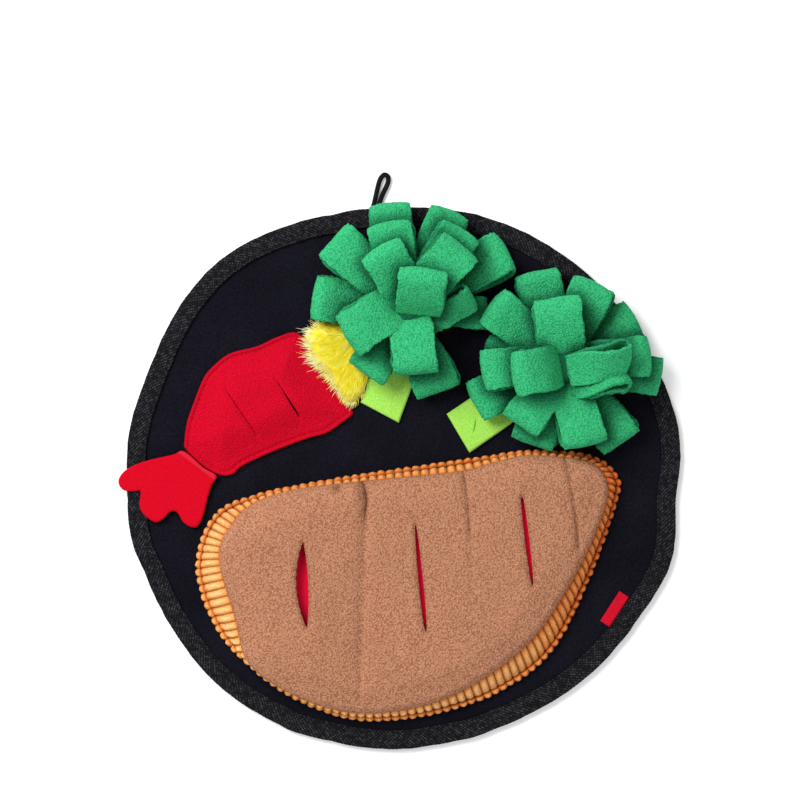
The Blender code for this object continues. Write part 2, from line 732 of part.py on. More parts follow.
def build_shrimp_fur(group, cutters):
    """A lumpy slab of plush with locks at its rim, swept out over its neighbours."""
    top, low = np.array(FUR_TOP), np.array(FUR_LOW)
    along = (low - top) / np.linalg.norm(low - top)
    across = np.array([-along[1], along[0]])
    half_length = float(np.linalg.norm(low - top)) / 2
    middle = (top + low) / 2
    stations = 36
    profile = (
        {"share": 0.90, "z": 0.0},
        {"share": 1.00, "z": 0.30},
        {"share": 0.96, "z": 0.72},
        {"share": 0.66, "z": 1.00},
        {"share": 0.30, "z": 1.08},
    )
    rings = []
    for row in profile:
        ring = []
        for i in range(stations):
            turn = 2 * math.pi * i / stations
            lump = 1.0 + 0.07 * math.sin(5 * turn + 4 * row["z"]) + 0.05 * math.cos(9 * turn)
            side = math.sin(turn) * FUR_HALF_WIDTH * lump
            reach = math.cos(turn) * (half_length + FUR_HALF_WIDTH * 0.4) * lump
            x, y = middle + (along * reach + across * side) * row["share"]
            wave = 0.5 * math.sin(3 * turn + 9 * row["share"]) if row["z"] > 0.6 else 0.0
            ring.append((x, y, LAY_Z + FUR_HEIGHT * row["z"] + wave))
        rings.append(ring)
    made = add_mesh("shrimp_fur", loft(rings), group, material("yellow"))

    for i in range(LOCKS):
        turn = 2 * math.pi * (i + 0.5 * math.sin(3.0 * i)) / LOCKS
        rim = middle + along * math.cos(turn) * half_length * 0.92
        rim = rim + across * math.sin(turn) * FUR_HALF_WIDTH * 0.72
        out = along * math.cos(turn) * 0.6 + across * math.sin(turn) + np.array([-0.35, 0.0])
        length = LOCK_LENGTH * (0.85 + 0.25 * math.sin(7.0 * i))
        rise = 0.22 + 0.12 * math.sin(5.0 * i)
        way = Vector((out[0], out[1], rise)).normalized()
        height = LAY_Z + FUR_HEIGHT * (0.70 + 0.10 * math.sin(2.3 * i))
        bm = bmesh.new()
        bmesh.ops.create_cone(
            bm, cap_ends=True, segments=3, radius1=LOCK_RADIUS, radius2=0.35, depth=length
        )
        bmesh.ops.translate(bm, vec=(0.0, 0.0, length / 2), verts=bm.verts)
        bmesh.ops.transform(
            bm, matrix=way.to_track_quat("Z", "Y").to_matrix().to_4x4(), verts=bm.verts
        )
        bmesh.ops.translate(bm, vec=(rim[0], rim[1], height), verts=bm.verts)
        add_cutter(f"lock_{i:02d}", bm, cutters)
    join(made, cutters)
    return made


def join(made, group):
    """Fuse every object of a collection to one object."""
    tool = made.modifiers.new("join", "BOOLEAN")
    tool.operation = "UNION"
    tool.operand_type = "COLLECTION"
    tool.collection = group


# ---- The stalks and the tufts --------------------------------------------------------------


def build_stalk(name, corners, group):
    free = (table_points(corners)[0] + table_points(corners)[1]) / 2

    def under(x, y):
        off = math.hypot(x - free[0], y - free[1])
        return LAY_Z + 0.7 * (1.0 - smoothstep(off / 16.0))

    made = add_mesh(name, patch_sheet(corners, 5, 7, under), group, material("lime"))
    thicken(made, FELT)
    return made


def loop_band(centre, loop):
    """One folded strip: out along its lower layer, round the tip and back on its upper one."""
    azimuth = math.radians(loop["azimuth"])
    tier = TIERS[loop["tier"]]
    root = Vector((4.0, 0.0, tier["root"]))
    tip = Vector((loop["reach"], 0.0, loop["tip"]))
    length = (tip - root).length
    bend = Vector(((root.x + tip.x) / 2, 0.0, 2 * tier["crest"] - (root.z + tip.z) / 2))

    def spine(t):
        return root * (1 - t) ** 2 + bend * 2 * t * (1 - t) + tip * t * t

    half_open = (loop["open"] + TUFT_FLEECE) / 2
    fold = half_open / length
    pressed = 1.2 / half_open
    outward = [
        {"t": 0.0, "side": pressed, "width": tier["neck"]},
        {"t": 0.33, "side": max(0.45, pressed), "width": tier["third"]},
        {"t": 0.66, "side": 0.72, "width": 0.95},
        {"t": 0.98 - fold, "side": 0.98, "width": 1.0},
        {"t": 1.0 - 0.30 * fold, "side": 0.66, "width": 0.97},
    ]
    stations = [(row["t"], -row["side"], row["width"]) for row in outward]
    stations.append((1.0, 0.0, 0.95))
    stations += [(row["t"], row["side"], row["width"]) for row in reversed(outward)]
    turn = math.radians(loop["roll"])
    line = []
    for t, side, width in stations:
        ahead = (spine(min(t + 0.02, 1.02)) - spine(t)).normalized()
        wide = Vector((0.0, 1.0, 0.0))
        up = ahead.cross(wide)
        twist = turn * smoothstep(t * 1.4)
        up, wide = (
            up * math.cos(twist) + wide * math.sin(twist),
            wide * math.cos(twist) - up * math.sin(twist),
        )
        line.append((spine(t) + up * side * half_open, wide, width * loop["width"] / 2))
    rings = []
    spin = Vector((math.cos(azimuth), math.sin(azimuth), 0.0))
    swing = Vector((-math.sin(azimuth), math.cos(azimuth), 0.0))
    for i, (point, wide, half) in enumerate(line):
        before, after = line[max(i - 1, 0)][0], line[min(i + 1, len(line) - 1)][0]
        ahead = (after - before).normalized()
        normal = ahead.cross(wide).normalized() * (TUFT_FLEECE / 2)
        ring = []
        for corner in (
            point - wide * half - normal,
            point + wide * half - normal,
            point + wide * half + normal,
            point - wide * half + normal,
        ):
            placed = spin * corner.x + swing * corner.y
            ring.append((placed.x + centre[0], placed.y + centre[1], corner.z))
        rings.append(ring)
    return loft(rings)


def build_tuft(name, centre, loops, group, cutters):
    """A rosette of folded fleece strips around a low core that is sewn to the mat."""
    bm = bmesh.new()
    profile = [bm.verts.new((0.0, 0.0, TUFT_CORE[-1]["z"] + 2.0))]
    profile += [bm.verts.new((row["radius"], 0.0, row["z"])) for row in reversed(TUFT_CORE)]
    profile.append(bm.verts.new((0.0, 0.0, TUFT_CORE[0]["z"])))
    for low, high in zip(profile, profile[1:]):
        bm.edges.new((low, high))
    made = add_mesh(name, bm, group, bpy.data.materials.get("green") or material("green"))
    made.location = (centre[0] * MM, centre[1] * MM, 0.0)
    turned = made.modifiers.new("turn", "SCREW")
    turned.steps = turned.render_steps = 24
    turned.use_merge_vertices = True
    turned.merge_threshold = 0.00001
    turned.use_normal_calculate = True
    for number, loop in enumerate(loops, 1):
        add_cutter(f"{name}_loop_{number:02d}", loop_band(centre, loop), cutters)
    join(made, cutters)
    return made


def main():
    clear_scene()
    parts = new_collection("snuffle_mat")
    cutters = new_collection("cutters")
    build_mat(parts)
    build_binding(parts)
    build_hang_loop(parts)
    build_tag(parts)
    build_steak_pad(parts)
    build_steak_lining(parts)
    build_steak_top(parts, cutters)
    build_shrimp_body(parts, cutters)
    build_shrimp_tail(parts)
    build_shrimp_fur(parts, new_collection("cutters_locks"))
    build_stalk("stalk_left", STALK_LEFT, parts)
    build_stalk("stalk_right", STALK_RIGHT, parts)
    build_tuft("tuft_left", TUFT_LEFT, LOOPS_LEFT, parts, new_collection("cutters_left"))
    build_tuft("tuft_right", TUFT_RIGHT, LOOPS_RIGHT, parts, new_collection("cutters_right"))


main()
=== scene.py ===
"""The looks of a round snuffle mat with a stuffed steak, a shrimp and two fleece tufts.

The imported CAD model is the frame, and every piece here stands for one of its nodes or lies on
one. Sizes are in millimetres, and MM turns them into the frame's metres. The tables repeat the
CAD's named sizes, because this file reads nothing but the frame.
"""

import math

import bmesh
import bpy
import numpy as np
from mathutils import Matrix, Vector

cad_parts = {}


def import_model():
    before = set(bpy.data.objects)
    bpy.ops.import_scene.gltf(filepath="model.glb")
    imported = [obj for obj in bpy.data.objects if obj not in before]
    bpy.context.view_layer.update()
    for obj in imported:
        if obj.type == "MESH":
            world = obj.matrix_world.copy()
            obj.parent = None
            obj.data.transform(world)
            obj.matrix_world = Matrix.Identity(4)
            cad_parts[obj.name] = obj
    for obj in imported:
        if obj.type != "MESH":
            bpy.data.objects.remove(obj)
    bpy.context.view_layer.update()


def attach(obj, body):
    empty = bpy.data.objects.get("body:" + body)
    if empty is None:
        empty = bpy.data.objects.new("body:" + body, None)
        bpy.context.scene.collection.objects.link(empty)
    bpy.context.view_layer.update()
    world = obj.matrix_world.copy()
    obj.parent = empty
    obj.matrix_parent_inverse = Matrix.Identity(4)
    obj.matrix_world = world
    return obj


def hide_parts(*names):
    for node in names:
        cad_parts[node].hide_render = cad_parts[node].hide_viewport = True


MM = 0.001
TURN = 2 * math.pi
GAP = 0.3  # between pieces that lie on each other
WHITE = (1.0, 1.0, 1.0)
LOOKS = {}  # the materials, by name
NOISE_WAY = (127.1, 311.7, 74.7)  # with the next number, these scatter the noise's values
NOISE_SCATTER = 43758.5453
SPAN_STEPS = 24  # points to each span of an outline, before they are spaced evenly
EDGE_POINTS = 1600  # points round an outline that a sheet's mesh ends on
NEAR_EDGE_POINTS = 200  # points round an outline that distances are measured to
RING_POWER = 0.85  # below 1, so that a sheet's rings lie closer together near its edge


def records(columns, *rows):
    """Rows of values, with a name for each column."""
    return [dict(zip(columns.split(), row)) for row in rows]


def by_tier(**tiers):
    """A tuft's strips, with azimuth and roll in degrees. open is the gap between their layers."""
    rows = [(tier, *row) for tier, strips in tiers.items() for row in strips]
    return records("tier azimuth reach tip width roll open", *rows)


# ---- Camera and light ----

VIEW_CENTRE = (-1.9, 42.9)  # the point of the mat under the photo's centre
CAMERA_HEIGHT = 3300.0
LENS = 270.0
SENSOR = 36.0
FLOOR_REACH = 6000.0
FLOOR_GLOW = 0.22  # keeps the shadow on the floor pale
ALL_ROUND = 0.42  # strength of the light from all round
# Name, place in metres, size in metres and power in watts.
LIGHTS = [
    ("key", (-0.85, 0.75, 1.25), 0.9, 32.0),
    ("fill", (0.5, -0.95, 1.15), 1.2, 6.0),
]

# ---- The mat ----

MAT_RADIUS = 151.0
MAT_TOP = 3.0
# Where the hand-sewn rim leaves its circle: centre and half width in degrees, push in mm.
RIM_WAVES = [
    (10, 11, 2.4), (92, 22, -2.0), (132, 18, 5.5), (172, 9, 1.9), (192, 7, 2.2), (228, 13, 1.6),
    (246, 4, 1.0), (291, 30, -4.0), (342, 8, 3.4), (356, 5, -1.8),
]
WEBBING = 1.2
MAT_INSET = WEBBING + GAP
BINDING_LEG = 10.2
BINDING_TOP_ROWS = 21
BINDING_STITCH_ROW = 17  # counted in from the outer edge of the binding's top
LAY_Z = MAT_TOP + GAP
BINDING_TOP = LAY_Z + WEBBING
WEAVE_CELLS = 864  # little squares of the webbing's weave, counted round the rim

CORD_RADIUS = 1.35
CORD_Z = 1.45
CORD_ROUTE = [
    (-16.9, 147.9), (-16.0, 151.4), (-15.2, 155.0), (-14.4, 158.6), (-13.5, 162.2), (-12.3, 165.1),
    (-10.5, 166.7), (-8.7, 165.9), (-8.3, 163.5), (-9.3, 160.4), (-10.9, 157.2), (-12.2, 154.2),
    (-13.2, 151.0), (-14.0, 147.9),
]

TAG = {"x": 115.9, "y": -71.9, "turn": 57.0, "length": 19.5, "width": 6.2, "ply": 0.35}
TAG_HEIGHT = 1.0
TAG_BEND = 0.6  # where the fold starts, in from the tag's edge

# ---- The steak ----

STEAK_CENTRE = (0.0, -58.0)
STEAK_FOOT = [
    (-104.4, -20.4), (-80.2, -8.6), (-45.5, -1.4), (-3.6, 5.2), (41.5, 11.7), (70.7, 15.4),
    (103.0, 12.7), (118.3, 0.6), (116.7, -15.6), (102.1, -55.9), (82.0, -94.6), (54.6, -116.4),
    (22.3, -128.5), (-10.0, -133.4), (-35.8, -130.9), (-63.3, -119.5), (-85.8, -102.7),
    (-103.6, -81.7), (-114.1, -49.4),
]
STEAK_RIM = [
    (-101.1, -42.9), (-93.1, -23.7), (-80.2, -12.8), (-58.4, -6.0), (-26.1, -2.0), (-0.3, 0.6),
    (32.0, 4.0), (54.6, 10.0), (70.7, 12.5), (101.3, 9.0), (111.8, -3.5), (107.8, -23.6),
    (91.6, -57.5), (67.4, -91.4), (32.0, -116.4), (-0.3, -126.9), (-32.6, -127.7), (-63.3, -117.2),
    (-85.0, -101.0), (-92.3, -76.8),
]
RIBS = 128
RIB_STATIONS = 10  # mesh columns to each rib
RIB_DEPTH = 1.2
# How far the wall's ribs lean along the outline, in mm, by the direction from the middle.
RIB_LEAN = [(-180, 0.0), (-75, 0.0), (-45, 2.8), (-20, 4.6), (20, 3.6), (50, 0.0), (180, 0.0)]
PAD_TOP = 12.0
# The corduroy from the mat upwards: how far in from the foot, how high, how deep its ribs are cut
# there, and its tone. Rows above these rise over the wall.
# A row's tone is painted light and shade: darker near the mat and in the groove before the wall,
# lighter on the bead.
FLANGE = [
    (0.6, LAY_Z, 0.5, 0.3), (0.3, 3.9, 1.1, 0.4), (0.2, 4.6, 1.7, 0.5), (0.5, 5.4, 1.9, 0.6),
    (1.1, 6.0, 1.9, 0.6), (1.8, 6.0, 1.7, 0.6), (2.4, 5.5, 1.3, 0.35), (2.8, 4.9, 1.0, 0.0),
    (3.1, 4.9, 0.9, 0.05),
]
FLANGE_STITCH = {"inset": 3.0, "z": 4.4}
WALL_ROWS = 14
WALL_BULGE = 1.2
PAD_HEM = 2.5  # how far the corduroy runs on below the fleece
LINING_INSET = 7.0
RIM_TURN = 3.2
LINING_Z = PAD_TOP + GAP
LINING_THICKNESS = 1.5
LINING_PUSH = 2.2  # how far the filling pushes the lining up below the narrow slits
FLEECE = 2.5
POCKET_FLOOR = LINING_Z + LINING_THICKNESS + GAP
# How far the filling lifts the fleece, by x.
CROWN = [
    (-112, 0.5), (-78, 4.4), (-52, 5.4), (-24, 3.0), (6, 3.6), (36, 2.8), (66, 3.4), (92, 2.4),
    (112, 0.5),
]
CROWN_RISE = 16.0
# Sewn seams: their route from the top down, how deep they are sewn, over which of their length
# they are pulled into a tight crease, and how much of their depth shows on the fleece's face.
# dark is how strongly the painted shade along each seam's crease is drawn.
SEAMS = records(
    "route depth half_width sharp drawn dark",
    ([(-26.5, 8.0), (-22.6, -2.0), (-20.6, -9.1), (-20.5, -14.0), (-21.2, -24.0), (-22.8, -70.4),
      (-24.2, -128.0)], 2.6, 3.0, 0.17, 0.5, 1.0),
    ([(32.0, 8.0), (32.9, 2.2), (34.4, -9.1), (36.0, -27.0), (36.6, -50.0), (36.8, -78.0)],
     1.9, 2.8, 0.42, 0.1, 0.55),
    ([(87.6, 14.0), (88.8, 8.0), (91.6, -6.1), (94.9, -27.0), (96.0, -48.0)],
     1.9, 2.8, 0.95, 0.1, 0.62),
)
PUCKER = {"x": -36.4, "y": -5.0, "depth": 1.5}
# A slit's ends, its half widths to either side, how round its ends are (less is blunter) and how
# far along its widest place lies (more is nearer to its second end).
SLIT_COLUMNS = "x0 y0 x1 y1 left right blunt late"
STEAK_SLITS = records(
    SLIT_COLUMNS,
    (-54.8, -34.6, -52.7, -81.7, 5.0, 1.8, 0.8, 1.0),
    (6.5, -24.9, 12.3, -84.1, 1.35, 1.3, 0.36, 1.2),
    (64.7, -9.4, 70.7, -59.1, 1.3, 1.3, 0.36, 0.9),
)
SLIT_STEPS = 24
SLIT_TOOL_TOP = 20.0  # how far the slits are cut upwards

# ---- The shrimp ----

SHRIMP_CENTRE = (-76.0, 43.0)
SHRIMP_BODY = [
    (-59.5, 80.0), (-69.2, 77.5), (-80.5, 72.4), (-95.1, 68.5), (-104.1, 61.8), (-109.7, 55.0),
    (-114.7, 42.7), (-118.6, 31.5), (-120.3, 20.5), (-119.4, 15.6), (-109.5, 6.2), (-100.4, 1.6),
    (-93.6, 2.3), (-88.3, 6.8), (-71.5, 14.6), (-52.4, 21.9), (-42.4, 24.7), (-32.2, 31.5),
    (-27.6, 36.0), (-31.5, 40.5), (-38.6, 50.3), (-41.8, 56.0), (-47.6, 62.3), (-53.0, 74.5),
]
RED_FLEECE = 2.0
BODY_CROWN = 4.6
STITCH_INSET = 2.4
SHRIMP_SLITS = records(
    SLIT_COLUMNS,
    (-70.9, 55.6, -56.9, 33.6, 0.5, 0.45, 0.7, 2.2),
    (-97.4, 48.3, -80.5, 23.5, 0.15, 0.14, 0.5, 1.0),
)
TAIL_CENTRE = (-125.0, 0.5)
TAIL = [
    (-120.3, 14.6), (-127.0, 12.8), (-142.2, 9.2), (-151.7, 5.0), (-155.9, 0.5), (-156.3, -3.5),
    (-153.6, -6.6), (-148.4, -7.4), (-144.4, -7.3), (-144.9, -14.7), (-142.8, -19.8),
    (-136.6, -24.2), (-132.1, -22.6), (-128.8, -19.2), (-125.7, -18.0), (-123.2, -20.3),
    (-120.9, -24.2), (-116.4, -27.0), (-112.5, -25.9), (-109.7, -19.8), (-107.4, -10.8),
    (-105.2, -4.0), (-102.7, 1.3), (-109.8, 5.9),
]
FELT = 2.0
TAIL_Z = BINDING_TOP + GAP
TAIL_SEAM_RISE = 1.0
TAIL_SEAM_WIDTH = 3.4

# The plush strip's soft mound.
FUR_CENTRE = (-35.0, 62.5)
FUR_MOUND = [
    (-50.5, 78.5), (-47.0, 82.6), (-41.5, 84.3), (-33.5, 83.5), (-27.0, 77.5), (-23.6, 70.0),
    (-20.8, 63.5), (-19.0, 57.8), (-20.4, 51.5), (-23.0, 46.4), (-27.0, 43.0), (-30.4, 42.4),
    (-33.6, 46.2), (-37.0, 51.4), (-39.6, 56.6), (-45.0, 62.8), (-49.4, 69.0), (-51.2, 74.5),
]
FUR_LOFT = 3.6
FUR_CLUMPS = 320
FUR_HAIRS = 12  # in each clump
FUR_RINGS = 7
FUR_SIDES = 3
FUR_RADIUS = 0.17
FUR_SEED = 11
# The way the hairs lie at a few spots: x, y, angle in degrees and length. It is mixed between.
FUR_COMB = [
    (-47, 82, 130, 7.0), (-39, 82, 108, 4.5), (-49, 74, 165, 9.0), (-47, 67, 187, 11.0),
    (-38, 68, 206, 10.0), (-33, 72, 236, 9.0), (-43, 58, 212, 10.0), (-34, 56, 236, 10.0),
    (-24, 58, 264, 8.0), (-37, 50, 228, 9.5), (-31, 44, 252, 7.5), (-24, 47, 280, 7.0),
]
FUR_WISPY_Y = 58.0  # above this the fringe is long and thin
FUR_FRINGE = 200.0  # the side where long hairs hang out over the edge, in degrees

# ---- Stalks and tufts ----

STALK_LEFT = [(-23.6, 41.6), (-2.5, 30.3), (9.3, 62.6), (-14.8, 66.2)]
STALK_RIGHT = [(23.7, 35.2), (36.3, 13.8), (70.2, 37.5), (56.2, 57.3)]
STALK_STITCH = [(39.6, 33.4), (39.0, 30.0), (38.3, 26.5), (38.1, 23.2)]

TUFT_FLEECE = 2.2
# The core's radius and height, from its bottom to its top.
TUFT_CORE = [
    (0.5, 3.3), (21.0, 3.3), (20.4, 4.9), (13.0, 6.0), (13.0, 18.0), (10.5, 28.0), (8.0, 29.3),
    (4.0, 29.9), (0.5, 30.0),
]
CORE_COLUMNS = 72
# A tier's height at the root and at the crest, and its strips' width near the root and a third on.
TIERS = {
    "floor": (6.8, 9.6, 0.50, 0.72),
    "second": (12.0, 17.0, 0.56, 0.82),
    "third": (17.5, 25.2, 0.72, 0.92),
    "fourth": (23.0, 32.5, 0.82, 1.00),
    "top": (28.0, 41.5, 0.90, 1.00),
}
STRIP_WIDER = 1.06  # the soft strips spread a little past their solids
STRIP_ACROSS = np.linspace(-1.0, 1.0, 13)  # places over a strip's width
STRIP_SKEW = 1.7  # how far a strip's lower layer may stand out beside its upper one
# A strip's painted shade on the pile beside it reaches this far.
SHADE_REACH = 4.5  # how far a strip darkens the pile beside it
# Strips that were sewn a little off the middle, by their number.
OFF_LEFT = {11: (5.5, -11.0), 12: (-0.2, 5.4), 13: (4.0, 1.5), 15: (2.0, 1.4), 16: (6.8, -6.4)}
OFF_RIGHT = {14: (1.0, -3.5), 15: (1.0, -13.0), 16: (1.0, -2.0), 17: (0.0, -6.0)}
LOOPS_LEFT = by_tier(
    floor=[(99, 57, 10, 21, 0, 5), (31, 62, 12, 23, 8, 6), (-4, 43, 9, 17, 0, 4),
           (-69, 48, 13, 24, 0, 5.5), (174, 50, 14, 23, 0, 6)],
    second=[(65, 57, 10, 21, 0, 5), (137, 54, 14, 23, 0, 7), (-122, 41, 17, 22, 0, 5)],
    third=[(102, 46, 22, 23, 0, 5), (55, 51, 24, 22, 0, 5), (30, 34, 27, 17, -42, 4)],
    fourth=[(-146, 37, 29, 24, 0, 7), (121, 35, 34, 23, 0, 6), (47, 44, 35, 23, 0, 6),
            (-84, 36, 29, 23, 0, 7)],
    top=[(84, 26, 44, 25, 0, 6)],
)
LOOPS_RIGHT = by_tier(
    floor=[(106, 50, 10, 23, 0, 5), (169, 41, 8, 12, 0, 3), (204, 52, 12, 22, 0, 5),
           (-54, 54, 12, 23, 0, 6), (31, 45, 10, 23, 0, 5)],
    second=[(141, 49, 19, 22, 0, 7), (250, 47, 11, 23, 0, 5), (-9, 53, 10, 20, 0, 4),
            (68, 45, 20, 23, 0, 6)],
    third=[(187, 43, 24, 21, 0, 5), (235, 41, 23, 22, 0, 5), (-74, 46, 23, 23, 0, 6),
           (4, 46, 23, 21, 0, 5)],
    fourth=[(96, 37, 31, 25, 0, 7), (13, 32, 31, 18, 40, 4)],
    top=[(190, 27, 38, 23, 0, 6), (13, 35, 38, 18, -42, 4)],
)
# A tuft's node, its middle, its strips and how far some of them are off the middle.
TUFTS = [
    ("tuft_left", (1.6, 93.1), LOOPS_LEFT, OFF_LEFT),
    ("tuft_right", (87.1, 63.9), LOOPS_RIGHT, OFF_RIGHT),
]


# ---- Curves, noise and heights ----


def unit(ways):
    """Vectors with their length made 1."""
    return ways / np.linalg.norm(ways, axis=-1, keepdims=True)


def closed(path):
    """A path that comes back to its first point."""
    return np.vstack([path, path[:1]])


def distances(path):
    """How far along a path each of its points lies."""
    return np.concatenate([[0.0], np.cumsum(np.linalg.norm(np.diff(path, axis=0), axis=1))])


def at_height(flat, z):
    """Points of a plane, put at a height."""
    return np.column_stack([flat, np.broadcast_to(z, len(flat))])


def spline_span(a, b, c, d, t):
    """A point of the smooth curve from b to c, with a and d as its neighbours."""
    return 0.5 * (
        2 * b + (c - a) * t + (2 * a - 5 * b + 4 * c - d) * t**2 + (3 * b - a - 3 * c + d) * t**3
    )


def smooth_loop(points, count):
    """A closed smooth curve through the points, as count points evenly apart along it."""
    near = [np.roll(points, k, axis=0)[:, None] for k in (1, 0, -1, -2)]
    steps = np.linspace(0.0, 1.0, SPAN_STEPS, endpoint=False)[:, None]
    fine = closed(spline_span(*near, steps).reshape(-1, 2))
    along = distances(fine)
    wanted = np.linspace(0.0, along[-1], count, endpoint=False)
    return np.column_stack([np.interp(wanted, along, column) for column in fine.T])


def smooth_path(points, per_span):
    """An open smooth curve through the points, which may have any number of columns."""
    points = np.array(points, dtype=float)
    ends = np.vstack([2 * points[0] - points[1], points, 2 * points[-1] - points[-2]])
    near = [ends[k : len(ends) - 3 + k, None] for k in range(4)]
    steps = np.linspace(0.0, 1.0, per_span, endpoint=False)[:, None]
    return np.vstack([spline_span(*near, steps).reshape(-1, points.shape[1]), points[-1]])


def on_loop(loop, share):
    """The places at shares of the way round a closed curve."""
    spot = share % 1.0 * len(loop)
    low = np.floor(spot).astype(int) % len(loop)
    part = (spot - np.floor(spot))[..., None]
    return loop[low] * (1 - part) + loop[(low + 1) % len(loop)] * part


def way_in(loop):
    """The way into a closed curve at each of its points."""
    ahead = unit(np.roll(loop, -1, axis=0) - np.roll(loop, 1, axis=0))
    side = np.column_stack([ahead[:, 1], -ahead[:, 0]])
    return side if ((loop.mean(axis=0) - loop) * side).sum() > 0 else -side


def smoothstep(value):
    value = np.clip(value, 0.0, 1.0)
    return value * value * (3.0 - 2.0 * value)


def bell(off, width):
    """1 at no distance, and falling to nothing over about two widths."""
    return np.exp(-((off / width) ** 2))


def grain(points, size, shift=0.0):
    """Smooth noise from 0 to 1 at points in mm, with lumps of about the given size."""
    cell = np.asarray(points, dtype=float) / size + shift
    low = np.floor(cell)
    part = smoothstep(cell - low)
    total = np.zeros(len(cell))
    for corner in np.ndindex(2, 2, 2):
        mixed = np.sin((low + corner) @ NOISE_WAY) * NOISE_SCATTER
        weight = np.where(np.array(corner) == 1, part, 1.0 - part).prod(axis=1)
        total += weight * (mixed - np.floor(mixed))
    return total


def flat_grain(x, y, size, shift=0.0):
    """The same noise over a sheet, from its x and y."""
    points = np.column_stack([np.ravel(x), np.ravel(y), np.full(np.size(x), 7.3 * size)])
    return grain(points, size, shift).reshape(np.shape(x))


def distance_to(outline, x, y):
    """Distance from each point to a closed outline."""
    step = np.roll(outline, -1, axis=0) - outline
    nearest = np.full(len(x), 1e9)
    for start, way in zip(outline, step):
        off_x, off_y = x - start[0], y - start[1]
        along = np.clip((off_x * way[0] + off_y * way[1]) / (way @ way), 0.0, 1.0)
        nearest = np.minimum(nearest, np.hypot(off_x - along * way[0], off_y - along * way[1]))
    return nearest


def depth_inside(outline, x, y):
    """How far each point is inside a closed outline: below 0 it is outside."""
    crossings = np.zeros(len(x), dtype=int)
    for (x0, y0), (x1, y1) in zip(outline, np.roll(outline, -1, axis=0)):
        if y0 != y1:
            crossing = x0 + (y - y0) / (y1 - y0) * (x1 - x0)
            crossings += ((y0 > y) != (y1 > y)) & (x < crossing)
    return np.where(crossings % 2 == 1, 1.0, -1.0) * distance_to(outline, x, y)


def mat_radius(angle):
    """Radius of the binding's outer edge at angles in radians."""
    radius = MAT_RADIUS
    for at, spread, push in RIM_WAVES:
        radius = radius + push * bell((np.degrees(angle) - at + 180.0) % 360.0 - 180.0, spread)
    return radius


def lip(inside, radius, least=0.35):
    """Share of a cloth's thickness near its cut edge, which is rounded off."""
    near = 1.0 - np.clip(inside / radius, 0.0, 1.0)
    return least + (1.0 - least) * np.sqrt(1.0 - near**2)


def slit_frame(slit):
    """A slit's start, its direction with its length, and the way to its left."""
    start = np.array([slit["x0"], slit["y0"]])
    way = np.array([slit["x1"], slit["y1"]]) - start
    left = unit(np.array([way[1], -way[0]]))
    return start, way, -left if left[0] > 0 else left


def slit_bow(share, slit):
    """Half width of a slit along its length, as a share of the widest."""
    along = np.clip(share, 0.0, 1.0) ** slit["late"]
    return np.sin(math.pi * along) ** slit["blunt"]


def slit_gap(slit, x, y):
    """Distance of each point from a slit's opening, which is 0 inside it."""
    start, way, left = slit_frame(slit)
    length = np.linalg.norm(way)
    along = ((x - start[0]) * way[0] + (y - start[1]) * way[1]) / length**2
    side = (x - start[0]) * left[0] + (y - start[1]) * left[1]
    bow = slit_bow(along, slit)
    past = np.maximum(np.abs(along - 0.5) - 0.5, 0.0) * length
    off = np.where(side > 0, side - slit["left"] * bow, -side - slit["right"] * bow)
    return np.maximum(np.where(past > 0, np.hypot(past, side), off), 0.0)


def near_slits(slits, x, y, width):
    """1 in a slit, and falling off beside it over the given width."""
    return np.max([bell(slit_gap(slit, x, y), width) for slit in slits], axis=0)


# ---- Meshes ----


def place(name, data):
    """An object in the scene."""
    made = bpy.data.objects.new(name, data)
    bpy.context.scene.collection.objects.link(made)
    return made


def add_mesh(name, points, faces, look=None, marks=None):
    """An object from points in mm, with its faces turned outwards and shaded smooth.

    marks are named numbers for each point, which its material reads.
    """
    points = np.asarray(points, dtype=float)
    quads = np.asarray(faces)
    corners = points[quads]
    turned = np.cross(corners[:, 1] - corners[:, 0], corners[:, 2] - corners[:, 0])
    turned += np.cross(corners[:, 2] - corners[:, 0], corners[:, -1] - corners[:, 0])
    if (turned * (corners.mean(axis=1) - points.mean(axis=0))).sum() < 0:
        quads = quads[:, ::-1]
    mesh = bpy.data.meshes.new(name)
    mesh.from_pydata((points * MM).tolist(), [], quads.tolist())
    mesh.shade_smooth()
    for mark, values in (marks or {}).items():
        layer = mesh.attributes.new(mark, "FLOAT", "POINT")
        layer.data.foreach_set("value", np.asarray(values, dtype=np.float32))
    if look:
        mesh.materials.append(LOOKS[look])
    mesh.update()
    return place(name, mesh)


def numbers(points):
    """The numbers of a table's points, in the same rows and columns."""
    return np.arange(points[..., 0].size).reshape(points.shape[:2])


def grid_faces(index, close_rows=False, close_columns=False):
    """Quads over a table of point numbers, which may join its last row or column to its first."""
    if close_rows:
        index = closed(index)
    if close_columns:
        index = closed(index.T).T
    quads = [index[:-1, :-1], index[:-1, 1:], index[1:, 1:], index[1:, :-1]]
    return np.stack([quad.ravel() for quad in quads], axis=1)


def add_grid(name, points, look, marks=None, **joined):
    """An object from a table of points."""
    return add_mesh(name, points.reshape(-1, 3), grid_faces(numbers(points), **joined), look, marks)


def closed_tube(name, rings, look=None, marks=None):
    """An object from rings of points, with a flat face at both its ends."""
    made = add_grid(name, rings, look, marks, close_columns=True)
    bm = bmesh.new()
    bm.from_mesh(made.data)
    points = list(bm.verts)
    size = rings.shape[1]
    for ring in (points[size - 1 :: -1], points[-size:]):
        bm.faces.new(ring).smooth = False
    bmesh.ops.recalc_face_normals(bm, faces=bm.faces)
    bm.to_mesh(made.data)
    bm.free()
    return made


